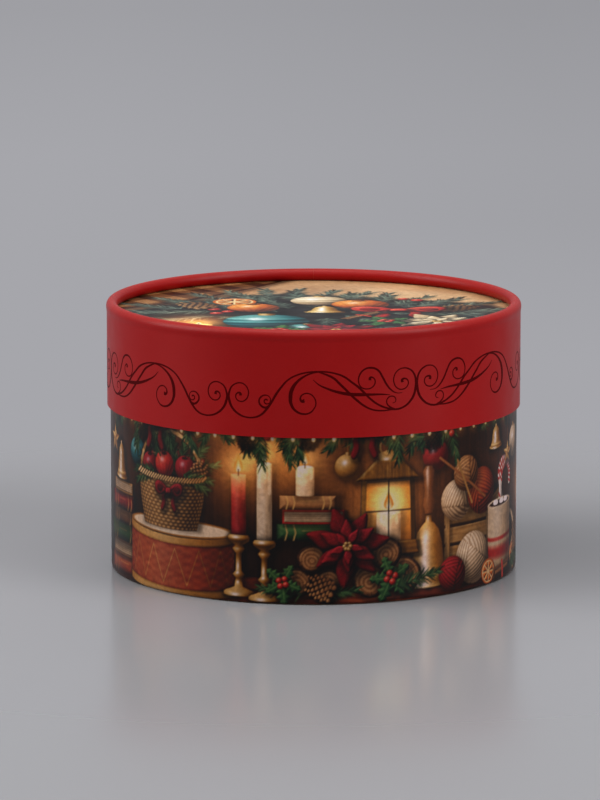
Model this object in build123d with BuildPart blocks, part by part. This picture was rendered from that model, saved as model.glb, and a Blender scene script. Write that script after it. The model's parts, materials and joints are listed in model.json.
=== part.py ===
from build123d import *
from math import cos, radians, sin
import os

# A cylindrical gift box of rolled board: a base, and a lid whose skirt slides down over it.
# Lengths are in millimetres. The origin is the centre of the ring that the base stands on,
# +Z is up, the front is -Y, and the ends of the paper sheets meet at the back, +Y.

# The closed box
lid_radius = 75.0  # outside of the lid's skirt
box_height = 98.0  # from the table to the top of the lid's rim
lid_depth = 38.0  # from the top of the rim to the skirt's cut edge
sliding_gap = 0.3  # all round, between the lid's liner and the base's wrap

# Papers and boards
wrap_paper = 0.15  # on the outside of each tube
liner_paper = 0.15  # on the inside of each tube
facing_paper = 0.15  # on both sides of the lid's disc, and on the floor of the base
lid_board = 0.6  # wall of the lid's tube
base_board = 1.05  # wall of the base's tube
disc_board = 1.5  # thickness of both discs
seam_gap = 0.3  # left between the two ends of a paper sheet
overrun = 1.0  # how far a cut runs past what it cuts

# The lid's rim, where the wall is rolled inwards and down onto the picture
rim_bend = 0.9  # inside radius of the board's two bends
rim_flat = 1.0  # flat crown between the bends
rim_flare = 0.4  # how far the roll swells out past the skirt
rim_recess = 4.5  # from the top of the rim down to the picture

# The base's foot, where the wall is rolled inwards and up against the disc
foot_bend = 0.45  # inside radius of the board's two bends
foot_flat = 1.0  # flat ring that stands on the table
foot_recess = 4.5  # from the table up to the disc

# Each quarter bend of a roll is drawn with this many straight facets, which keeps the model
# light. The base's wrap ends after the first, so that it stops short of the table.
bend_facets = 2
facets_under_base_wrap = 1

# Radii, from the outside in
rim_radius = lid_radius + rim_flare
rim_outer_bend = rim_bend + lid_board + wrap_paper
rim_inner_radius = rim_radius - 2 * rim_outer_bend - rim_flat
lid_disc_radius = lid_radius - wrap_paper - lid_board
lid_bore_radius = lid_disc_radius - liner_paper
base_radius = lid_bore_radius - sliding_gap
base_board_radius = base_radius - wrap_paper
foot_outer_bend = foot_bend + base_board
base_disc_radius = base_board_radius - base_board

# Levels, from the table up
base_disc_top = foot_recess + disc_board
base_floor = base_disc_top + facing_paper
lid_edge = box_height - lid_depth
picture_level = box_height - rim_recess
lid_disc_top = picture_level - facing_paper
lid_disc_bottom = lid_disc_top - disc_board
lid_ceiling = lid_disc_bottom - facing_paper
base_rim = lid_ceiling  # the closed lid rests on the base's cut edge

# A rolled wall is drawn as a half section, with the radius across and the distance from the
# crown of its roll along. The base's section stands on the table, the lid's hangs from its rim.
base_section = Plane.XZ
lid_section = Plane(origin=(0, 0, box_height), x_dir=(1, 0, 0), z_dir=(0, 1, 0))
base_side = [(base_board_radius, base_rim)]
lid_side = [(lid_radius, lid_depth), (lid_radius, rim_recess)]


def rolled_face(side, roll_radius, outer_bend, flat, depth, roll_end):
    """Points of one face of a rolled sheet, from its cut edge round the roll to the roll's end.

    side lists the (radius, distance) points of the wall's outer face from the cut edge to the
    roll, roll_radius and outer_bend are that face's at the roll, and the face drawn is depth
    below it.
    """
    points = [(radius - depth, distance) for radius, distance in side]
    first_centre = roll_radius - outer_bend
    bend = outer_bend - depth
    for quarter, centre in enumerate((first_centre, first_centre - flat)):
        for facet in range(bend_facets + 1):
            turn = radians(90 * (quarter + facet / bend_facets))
            points.append((centre + bend * cos(turn), outer_bend - bend * sin(turn)))
    points.append((centre - bend, roll_end))
    return points


def foot_face(depth):
    """A face of the base's rolled wall, depth below the outside of its board."""
    return rolled_face(
        base_side, base_board_radius, foot_outer_bend, foot_flat, depth, foot_recess
    )


def rim_face(depth):
    """A face of the lid's rolled wall, depth below the outside of its paper."""
    return rolled_face(lid_side, rim_radius, rim_outer_bend, rim_flat, depth, rim_recess)


def open_seam(outer_radius, inner_radius, height):
    """Part a sheet at the back, where its two ends meet."""
    with Locations((0, (outer_radius + inner_radius) / 2, 0)):
        Box(
            seam_gap,
            outer_radius - inner_radius + 2 * overrun,
            height + 2 * overrun,
            align=(Align.CENTER, Align.CENTER, Align.MIN),
            mode=Mode.SUBTRACT,
        )


def paper_liner(outer_radius, level, height):
    """A sheet rolled inside a tube, with its ends meeting at the back."""
    with BuildSketch(Plane.XY.offset(level)) as ring:
        Circle(outer_radius)
        Circle(outer_radius - liner_paper, mode=Mode.SUBTRACT)
        with Locations((0, outer_radius)):
            Rectangle(seam_gap, 2 * (liner_paper + overrun), mode=Mode.SUBTRACT)
    extrude(ring.sketch, amount=height)


def flat_disc(radius, level, thickness):
    """A round of board or paper that lies on the given level."""
    with BuildSketch(Plane.XY.offset(level)) as round_sheet:
        Circle(radius)
    extrude(round_sheet.sketch, amount=thickness)


# Base

# The hidden inside of the roll is closed off by the disc that sits on it, and is left solid.
with BuildPart() as base_board_tube:
    with BuildSketch(base_section):
        with BuildLine():
            Polyline(
                *foot_face(0),
                (base_disc_radius, foot_recess),
                (base_disc_radius, base_rim),
                close=True,
            )
        make_face()
    revolve(axis=Axis.Z)

with BuildPart() as base_printed_wrap:
    with BuildSketch(base_section):
        with BuildLine():
            last_point = len(base_side) + 1 + facets_under_base_wrap
            outside = foot_face(-wrap_paper)[:last_point]
            inside = foot_face(0)[:last_point]
            Polyline(*outside, *reversed(inside), close=True)
        make_face()
    revolve(axis=Axis.Z)
    open_seam(base_radius, base_board_radius - foot_outer_bend, base_rim)

with BuildPart() as base_disc:
    flat_disc(base_disc_radius, foot_recess, disc_board)

with BuildPart() as base_disc_inside_facing:
    flat_disc(base_disc_radius, base_disc_top, facing_paper)

with BuildPart() as base_liner:
    paper_liner(base_disc_radius, base_floor, base_rim - base_floor)

# Lid

with BuildPart() as lid_board_tube:
    with BuildSketch(lid_section):
        with BuildLine():
            Polyline(
                *rim_face(wrap_paper),
                (lid_disc_radius, rim_recess),
                (lid_disc_radius, lid_depth),
                close=True,
            )
        make_face()
    revolve(axis=Axis.Z)

with BuildPart() as lid_wrap:
    with BuildSketch(lid_section):
        with BuildLine():
            Polyline(*rim_face(0), *reversed(rim_face(wrap_paper)), close=True)
        make_face()
    revolve(axis=Axis.Z)
    open_seam(rim_radius, rim_inner_radius, box_height)

with BuildPart() as lid_top_print:
    flat_disc(lid_disc_radius, lid_disc_top, facing_paper)

with BuildPart() as lid_disc:
    flat_disc(lid_disc_radius, lid_disc_bottom, disc_board)

with BuildPart() as lid_disc_inside_facing:
    flat_disc(lid_disc_radius, lid_ceiling, facing_paper)

with BuildPart() as lid_liner:
    paper_liner(lid_disc_radius, lid_edge, lid_ceiling - lid_edge)

pieces = {
    "base_board_tube": base_board_tube,
    "base_printed_wrap": base_printed_wrap,
    "base_disc": base_disc,
    "base_disc_inside_facing": base_disc_inside_facing,
    "base_liner": base_liner,
    "lid_board_tube": lid_board_tube,
    "lid_wrap": lid_wrap,
    "lid_top_print": lid_top_print,
    "lid_disc": lid_disc,
    "lid_disc_inside_facing": lid_disc_inside_facing,
    "lid_liner": lid_liner,
}

os.makedirs("parts", exist_ok=True)
for name, piece in pieces.items():
    piece.part.label = name
    export_step(piece.part, f"parts/{name}.step")
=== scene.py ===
# A short round gift box of rolled board, with a printed base and a red lid, in a plain studio.
# The front is -Y, up is +Z, and the ends of all the rolled papers meet at the back, +Y.
import json
import math
import bpy
import numpy as np
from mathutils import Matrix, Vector

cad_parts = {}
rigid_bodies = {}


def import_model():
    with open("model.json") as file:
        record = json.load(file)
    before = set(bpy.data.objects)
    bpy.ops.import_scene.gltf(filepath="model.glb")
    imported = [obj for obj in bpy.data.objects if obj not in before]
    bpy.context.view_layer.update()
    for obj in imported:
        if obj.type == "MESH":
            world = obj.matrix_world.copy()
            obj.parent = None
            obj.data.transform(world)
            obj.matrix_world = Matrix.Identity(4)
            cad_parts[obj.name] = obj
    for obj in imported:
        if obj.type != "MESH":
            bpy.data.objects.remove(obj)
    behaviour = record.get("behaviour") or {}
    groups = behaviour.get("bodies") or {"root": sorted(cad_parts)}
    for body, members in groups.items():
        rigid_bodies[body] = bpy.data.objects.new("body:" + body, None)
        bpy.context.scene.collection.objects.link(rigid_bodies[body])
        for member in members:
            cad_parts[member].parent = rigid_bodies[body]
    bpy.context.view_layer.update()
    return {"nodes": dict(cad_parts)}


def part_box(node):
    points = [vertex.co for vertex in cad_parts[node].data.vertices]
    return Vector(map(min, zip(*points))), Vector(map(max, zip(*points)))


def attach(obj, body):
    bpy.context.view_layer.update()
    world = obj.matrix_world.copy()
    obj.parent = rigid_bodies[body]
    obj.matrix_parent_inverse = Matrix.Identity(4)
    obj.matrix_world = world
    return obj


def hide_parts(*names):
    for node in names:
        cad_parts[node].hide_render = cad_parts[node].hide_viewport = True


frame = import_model()

MM = 0.001

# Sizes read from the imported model
LID_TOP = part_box("lid_wrap")[1][2]
LID_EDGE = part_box("lid_wrap")[0][2]
RIM_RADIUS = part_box("lid_wrap")[1][0]
LID_LINER_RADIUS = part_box("lid_liner")[1][0]
LID_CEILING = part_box("lid_liner")[1][2]
PICTURE_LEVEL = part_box("lid_top_print")[1][2]
PICTURE_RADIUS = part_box("lid_top_print")[1][0]
BASE_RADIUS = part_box("base_printed_wrap")[1][0]
BASE_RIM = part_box("base_printed_wrap")[1][2]
BASE_BOARD_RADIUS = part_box("base_board_tube")[1][0]
BASE_DISC_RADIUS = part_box("base_disc")[1][0]
BASE_DISC_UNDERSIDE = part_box("base_disc")[0][2]
BASE_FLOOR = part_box("base_liner")[0][2]

# Sizes of the papers, boards and rolls that the boxes don't show
PAPER = 0.15 * MM
SEAM_GAP = 0.03 * MM
RIM_FLARE = 0.4 * MM
ROLL_SWELL = 0.2 * MM
ROLL_HALF_WIDTH = 2.05 * MM
ROLL_TURN = 252  # degrees that the wall turns in the lid's roll
FOOT_BEND = 1.5 * MM
FOOT_FLAT = 1.0 * MM
SKIRT_RADIUS = RIM_RADIUS - RIM_FLARE
ROLL_HALF_HEIGHT = (LID_TOP - PICTURE_LEVEL) / 2

AROUND = 360  # steps that a rolled piece is turned in
BEND_STEPS = 9  # steps in each quarter bend of the foot
ROLL_STEP = 9  # degrees in each step of the lid's roll
BACK = math.radians(90)
SMOOTH_UP_TO = math.radians(40)  # bends up to this angle are shaded smooth


# Modelling


def deselect():
    bpy.ops.object.select_all(action="DESELECT")


def pick(piece):
    """Makes one piece the selected and active one."""
    deselect()
    piece.select_set(True)
    bpy.context.view_layer.objects.active = piece


def name_piece(name):
    piece = bpy.context.object
    piece.name = name
    piece.data.name = name
    return piece


def edit_mode():
    bpy.ops.object.mode_set(mode="EDIT")


def object_mode():
    bpy.ops.object.mode_set(mode="OBJECT")


def select_all_parts(action="SELECT"):
    """Selects, or deselects, everything in the mesh that is being edited."""
    bpy.ops.mesh.select_all(action=action)


def extrude_edges(*step):
    """Extrudes the selected edges by a step in x, y and z."""
    bpy.ops.mesh.extrude_edges_move(TRANSFORM_OT_translate={"value": step})


def select_where(piece, test):
    """Selects, in edit mode, the vertices whose places pass a test of their x, y and z."""
    edit_mode()
    select_all_parts("DESELECT")
    bpy.ops.mesh.select_mode(type="VERT")
    object_mode()
    piece.data.vertices.foreach_set("select", test(*vertex_places(piece).T))
    edit_mode()
    bpy.ops.mesh.select_mode(type="EDGE")


def face_outwards(piece):
    pick(piece)
    edit_mode()
    select_all_parts()
    bpy.ops.mesh.remove_doubles(threshold=0.001 * MM)
    bpy.ops.mesh.normals_make_consistent(inside=False)
    object_mode()


def apply_modifier(piece, kind, **settings):
    """Adds a modifier, sets it up and applies it."""
    pick(piece)
    bpy.ops.object.modifier_add(type=kind)
    modifier = piece.modifiers[-1]
    for setting, value in settings.items():
        setattr(modifier, setting, value)
    bpy.ops.object.modifier_apply(modifier=modifier.name)


def finish_piece(piece, body, material, replaced=()):
    """Shades a piece, gives it its material and puts it on its body."""
    pick(piece)
    bpy.ops.object.transform_apply(location=True, rotation=True, scale=True)
    bpy.ops.object.shade_smooth_by_angle(angle=SMOOTH_UP_TO)
    piece.data.materials.clear()
    piece.data.materials.append(material)
    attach(piece, body)
    if replaced:
        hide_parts(*replaced)
    return piece


def spun(name, section, gap=0.0, closed=False):
    """Spins a half section, given as (radius, height) points, about the box's axis.

    It starts and ends at the back, where gap is left open between the two ends.
    """
    deselect()
    start = BACK + gap / 2 / section[0][0]
    across, along = math.cos(start), math.sin(start)
    first_radius, first_height = section[0]
    bpy.ops.mesh.primitive_plane_add(
        size=MM, location=(first_radius * across, first_radius * along, first_height)
    )
    piece = name_piece(name)
    bpy.ops.object.transform_apply(location=True)
    edit_mode()
    bpy.ops.mesh.select_mode(type="VERT")
    select_all_parts()
    bpy.ops.mesh.merge(type="CENTER")
    for (radius, height), (next_radius, next_height) in zip(section, section[1:]):
        step = next_radius - radius
        bpy.ops.mesh.extrude_vertices_move(
            TRANSFORM_OT_translate={"value": (step * across, step * along, next_height - height)}
        )
    if closed:
        select_all_parts()
        bpy.ops.mesh.edge_face_add()
        bpy.ops.mesh.delete(type="ONLY_FACE")
    select_all_parts()
    bpy.ops.mesh.spin(
        steps=AROUND,
        angle=2 * math.pi - gap / section[0][0],
        center=(0, 0, 0),
        axis=(0, 0, 1),
    )
    object_mode()
    face_outwards(piece)
    return piece


def roll_up(piece, radius):
    """Bends a flat piece that faces the front round the box's axis, its y = 0 at the radius."""
    places = vertex_places(piece)
    width = float(places[:, 0].max() - places[:, 0].min())
    apply_modifier(
        piece, "SIMPLE_DEFORM", deform_method="BEND", deform_axis="Z", angle=width / radius
    )
    edit_mode()
    select_all_parts()
    bpy.ops.transform.translate(value=(0, -radius, 0))
    object_mode()


def vertex_places(piece):
    places = np.empty(len(piece.data.vertices) * 3, np.float32)
    piece.data.vertices.foreach_get("co", places)
    return places.reshape(-1, 3)


def print_on(piece, painting, up):
    """Lays a painting's colours on a flat piece, across along x and up along another axis."""
    places = vertex_places(piece) / MM
    colours = np.ones((len(places), 4), np.float32)
    colours[:, :3] = painting.colours_at(places[:, 0], places[:, up])
    layer = piece.data.attributes.new("print", "FLOAT_COLOR", "POINT")
    layer.data.foreach_set("color", colours.ravel())


def flat_map(piece, up):
    """Maps a flat piece from edge to edge, across along x and up along another axis."""
    places = vertex_places(piece)[:, [0, up]]
    low, high = places.min(0), places.max(0)
    corners = np.empty(len(piece.data.loops), np.int32)
    piece.data.loops.foreach_get("vertex_index", corners)
    layer = piece.data.uv_layers.new(name="OFBake")
    layer.data.foreach_set("uv", ((places - low) / (high - low))[corners].ravel())


# The scroll ornament. One half of a repeat is given as pen strokes through points of (across,
# height above the table, width), in millimetres. It runs from the low join, at 0, to the high
# join, and the other half is its mirror image.
HALF_REPEAT = 68.5
SCROLL_HALF = [
    # Small scroll at the low join
    [(0.2, 73.2, 0.8), (0.5, 75.8, 0.7), (1.5, 78.0, 0.6), (2.9, 79.0, 0.5), (4.6, 79.4, 0.5),
     (6.5, 78.7, 0.5), (7.6, 77.0, 0.5), (7.6, 74.9, 0.5), (6.5, 73.3, 0.5), (4.8, 72.8, 0.5),
     (3.4, 73.5, 0.5), (3.0, 74.7, 0.5), (3.7, 75.8, 0.6), (4.7, 75.7, 0.8), (4.8, 74.9, 1.0)],
    # Main line, from the low join up to the crest
    [(0.2, 75.2, 0.7), (0.7, 72.5, 0.9), (1.9, 70.2, 0.8), (4.1, 68.3, 0.7), (6.9, 67.3, 0.6),
     (9.7, 67.3, 0.6), (12.3, 68.3, 0.7), (14.3, 70.3, 0.8), (16.0, 72.7, 0.8),
     (17.7, 75.6, 0.8), (19.5, 78.1, 0.7), (21.9, 80.7, 0.6), (25.0, 82.4, 0.6),
     (28.5, 83.3, 0.6), (32.2, 83.5, 0.7)],
    # Small curl on the main line
    [(15.9, 72.6, 0.6), (14.2, 70.9, 0.8), (12.3, 71.6, 0.7), (11.6, 73.2, 0.6),
     (12.3, 74.6, 0.6), (13.9, 75.3, 0.5), (15.4, 74.6, 0.4), (15.7, 73.3, 0.4),
     (15.0, 72.3, 0.4), (13.8, 72.4, 0.5), (13.5, 73.3, 0.5), (14.2, 73.8, 0.6),
     (14.7, 73.4, 0.5)],
    # Thick curl under the crest
    [(33.3, 83.4, 0.4), (30.3, 83.0, 0.5), (27.4, 81.8, 0.7), (25.0, 79.9, 0.9),
     (23.4, 77.5, 1.2), (22.8, 74.8, 1.25), (23.1, 72.0, 1.0), (24.6, 69.8, 0.8),
     (26.9, 68.7, 0.7), (29.3, 68.9, 0.6), (31.0, 70.4, 0.5), (31.7, 72.4, 0.5),
     (31.0, 74.5, 0.5), (29.3, 75.8, 0.5), (27.4, 75.7, 0.5), (26.3, 74.5, 0.6),
     (26.7, 73.2, 0.9), (27.7, 73.3, 1.2)],
    # The two lines that run down from the crest to the high join
    [(31.9, 83.5, 0.6), (34.9, 83.4, 0.6), (38.1, 82.8, 0.6), (41.6, 81.4, 0.7),
     (44.5, 79.2, 0.7), (46.9, 77.3, 0.8), (48.9, 75.2, 0.8), (51.4, 72.7, 0.7),
     (54.0, 70.8, 0.7), (57.4, 69.3, 0.7), (60.6, 68.7, 0.7), (63.7, 69.4, 0.7),
     (66.0, 71.1, 0.8), (67.6, 73.5, 0.9), (68.3, 76.8, 0.9)],
    [(32.6, 83.4, 0.5), (35.7, 82.2, 0.7), (38.1, 80.9, 0.8), (40.0, 79.0, 0.8),
     (41.9, 77.1, 0.8), (44.0, 74.9, 0.8), (46.1, 72.9, 0.8), (48.7, 70.8, 0.7),
     (51.8, 69.2, 0.6), (55.4, 68.6, 0.6), (59.0, 68.7, 0.5)],
    # Leaf stroke across them
    [(30.7, 80.7, 0.3), (32.7, 78.9, 0.5), (35.7, 77.4, 0.7), (39.3, 76.1, 0.9),
     (43.3, 75.2, 1.1), (47.3, 74.8, 1.1), (51.4, 74.6, 0.8), (55.4, 74.4, 0.6),
     (58.3, 74.0, 0.3)],
    # The two upper scrolls
    [(62.9, 74.4, 0.3), (60.7, 74.5, 0.4), (58.7, 75.7, 0.6), (57.0, 77.7, 0.7),
     (55.5, 80.4, 0.7), (53.8, 83.0, 0.7), (51.2, 84.1, 0.7), (48.7, 83.6, 0.6),
     (47.1, 81.8, 0.6), (46.7, 79.5, 0.5), (47.6, 77.5, 0.5), (49.6, 76.7, 0.5),
     (51.8, 77.3, 0.5), (52.7, 79.0, 0.5), (52.1, 80.4, 0.5), (50.9, 80.6, 0.8),
     (50.8, 79.7, 1.0)],
    [(68.3, 75.6, 0.9), (68.2, 78.4, 0.8), (67.5, 80.7, 0.7), (65.7, 82.5, 0.6),
     (63.1, 83.1, 0.5), (60.9, 82.2, 0.5), (59.7, 80.2, 0.5), (59.8, 77.9, 0.5),
     (61.1, 76.1, 0.5), (63.1, 75.6, 0.5), (64.8, 76.5, 0.5), (65.2, 78.2, 0.5),
     (64.1, 79.3, 0.6), (62.8, 78.9, 0.9), (63.0, 78.1, 1.0)],
    # Small curl on the bottom line
    [(60.1, 68.8, 0.6), (58.1, 69.8, 0.6), (57.0, 71.4, 0.5), (57.5, 73.0, 0.5),
     (58.9, 73.5, 0.5), (60.2, 72.8, 0.5), (60.3, 71.5, 0.4), (59.2, 71.0, 0.3)],
]
FRONT_JOIN = -30.9  # the low join that shows left of the front's middle
LOW_JOINS = [FRONT_JOIN + 2 * HALF_REPEAT * turn for turn in (-1, 0, 1, 2)]
PRINT_RISE = 1.55  # the print winds round the lid a little askew, by this much up and down
STROKE_SPREAD = 1.4  # the ink spreads by this much,
STROKE_TRIM = 0.17  # less this
STROKE_STEPS = 5  # steps from one point of a stroke to the next
INK_FLATNESS = 0.1  # a stroke stands this share of its half width proud of the paper

# How finely the prints are drawn
PANELS = ("base_print_left", "base_print_middle", "base_print_right")
PRINT_TOP = 61.5 * MM  # the base's print is in fine rows up to here, just under the lid's edge
PRINT_COLUMNS = 456
PRINT_ROWS = 170
HIDDEN_ROWS = 32
CURL_UNDER = 45  # degrees that the base's paper turns in under the foot
CURL_STEPS = 5
PICTURE_CELLS = 310
PICTURE_SHOWN = 72.8 * MM  # the picture is in fine cells out to here, under the rim's roll


# Painting: the prints are painted in dots on flat sheets, in millimetres, x to the right, y up

DOT = 0.2  # width of a painted dot
LIGHT = np.array((-0.42, 0.56, 0.71))  # towards the light in the pictures
GLINT = np.array((-0.24, 0.33, 0.91))  # halfway from it to the viewer
SHADOW_SHIFT = (0.8, -0.8)
TINY = 1e-6


def colour(code):
    """A colour from its six-digit code, as red, green and blue shares."""
    return np.array([int(code[place : place + 2], 16) / 255 for place in (0, 2, 4)])


def as_light(shares):
    """Colour shares, as a screen or a printer takes them, as linear light."""
    return np.where(shares < 0.04045, shares / 12.92, ((shares + 0.055) / 1.055) ** 2.4)


# Each paint in shadow, in half light and lit
PAINTS = {
    name: [colour(code) for code in codes.split()]
    for name, codes in {
        "brick": "2a0d08 8a351c d07a48",
        "crimson": "1c0406 6e0f14 c2313a",
        "scarlet": "350807 a51d17 ec6a4c",
        "gold": "2e1a08 a06f2c f3d38a",
        "straw": "33210f a27b45 ead09a",
        "tan": "2b1a0f 8a5f38 d6ab72",
        "kraft": "22150d 6d482b b98a58",
        "cream": "4a3a2a bda580 fdf1d2",
        "white": "4e463e c3b8a6 fffaf0",
        "fir": "050b08 16301c 557a48",
        "leaf": "06100a 1d4424 6f9a56",
        "spruce": "080d0c 283a34 7d8a78",
        "teal": "04191c 16565c 7fc0b8",
        "wood": "140a06 4a2a18 8f5c34",
        "umber": "0c0705 2b1a12 5a3b26",
        "brass": "1f1206 8a5c1e ffe39a",
        "iron": "060606 25231f 77705f",
        "orange": "3a1406 b4561a f7b054",
        "wall_boards": "070403 2c1a12 6a442c",
        "floor_boards": "160805 6e2c18 d2703c",
        "parchment": "4a2c1c a27a55 e6c79c",
        "thicket": "060707 181d1b 3c443e",
        "lit_glass": "3a1a08 d0852c ffe9a8",
    }.items()
}


def tone(shade, paint):
    """Colours of a paint: dark where shade is 0, middle at a half and bright at 1."""
    dark, middle, bright = PAINTS[paint]
    shade = np.clip(shade, 0, 1)[..., None]
    low = np.minimum(2 * shade, 1)
    high = np.maximum(2 * shade - 1, 0)
    return dark + (middle - dark) * low + (bright - middle) * high


def mottle(x, y, size, seed):
    """Smooth noise from -1 to 1, in spots about size wide."""
    cells = 64
    heights = np.random.default_rng(int(abs(seed))).uniform(-1, 1, (cells, cells))
    column, row = np.floor(x / size), np.floor(y / size)
    across, along = x / size - column, y / size - row
    across, along = across**2 * (3 - 2 * across), along**2 * (3 - 2 * along)
    column, row = column.astype(int) % cells, row.astype(int) % cells
    right, above = (column + 1) % cells, (row + 1) % cells
    low = heights[row, column] * (1 - across) + heights[row, right] * across
    high = heights[above, column] * (1 - across) + heights[above, right] * across
    return low * (1 - along) + high * along


def smooth_loop(points, steps=5):
    """A closed outline that runs smoothly through the points."""
    points = np.asarray(points, float)
    before, after, beyond = (np.roll(points, shift, 0) for shift in (1, -1, -2))
    share = np.arange(steps)[:, None, None] / steps
    curve = 0.5 * (
        2 * points
        + (after - before) * share
        + (2 * before - 5 * points + 4 * after - beyond) * share**2
        + (3 * points - before - 3 * after + beyond) * share**3
    )
    return curve.transpose(1, 0, 2).reshape(-1, 2)


def smooth_line(points, steps=5):
    """An open line that runs smoothly through the points."""
    points = np.asarray(points, float)
    padded = np.vstack([2 * points[0] - points[1], points, 2 * points[-1] - points[-2]])
    curve = smooth_loop(padded, steps)
    return curve[steps : steps * len(points) + 1]


def turn_points(points, degrees):
    """Points turned about the origin."""
    turn = math.radians(degrees)
    x, y = np.asarray(points, float).T
    return np.column_stack(
        [x * math.cos(turn) - y * math.sin(turn), x * math.sin(turn) + y * math.cos(turn)]
    )


def polar(reach, degrees):
    """A point at a distance from the origin, in a direction."""
    turn = math.radians(degrees)
    return reach * np.array((math.cos(turn), math.sin(turn)))


def placed(points, size, x, y, degrees=0):
    """Points made larger, turned about the origin and moved to x and y."""
    return turn_points(np.asarray(points, float) * size, degrees) + (x, y)


def oblong(left, low, right, high):
    return [(left, low), (right, low), (right, high), (left, high)]


def tapered(x, low, half_low, high, half_high):
    """Corners of a form that has one half width at its foot and another at its top."""
    return [(x - half_low, low), (x + half_low, low), (x + half_high, high), (x - half_high, high)]


def from_line(x, y, start, end):
    """Square of the distance from a line between two points, and the share along it."""
    run, climb = end - start
    from_x, from_y = x - start[0], y - start[1]
    along = np.clip((from_x * run + from_y * climb) / (run**2 + climb**2 + TINY), 0, 1)
    return (from_x - run * along) ** 2 + (from_y - climb * along) ** 2, along


def outline_distance(x, y, points):
    """Distance from an outline, less than 0 inside it."""
    nearest = np.full(x.shape, np.inf)
    inside = np.zeros(x.shape, bool)
    points = np.asarray(points, float)
    for start, end in zip(points, np.roll(points, -1, 0)):
        nearest = np.minimum(nearest, from_line(x, y, start, end)[0])
        run, climb = end - start
        if climb:
            left_of_line = x - start[0] < (y - start[1]) * run / climb
            inside ^= ((start[1] > y) != (end[1] > y)) & left_of_line
    return np.where(inside, -1, 1) * np.sqrt(nearest)


def covered(depth):
    """How much of each dot lies inside an edge, from its depth inside it."""
    return np.clip(depth / DOT + 0.5, 0, 1)


def blurred(ink):
    soft = ink.copy()
    soft[1:-1] = (ink[:-2] + 2 * ink[1:-1] + ink[2:]) / 4
    soft[:, 1:-1] = (soft[:, :-2] + 2 * soft[:, 1:-1] + soft[:, 2:]) / 4
    return soft


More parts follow.
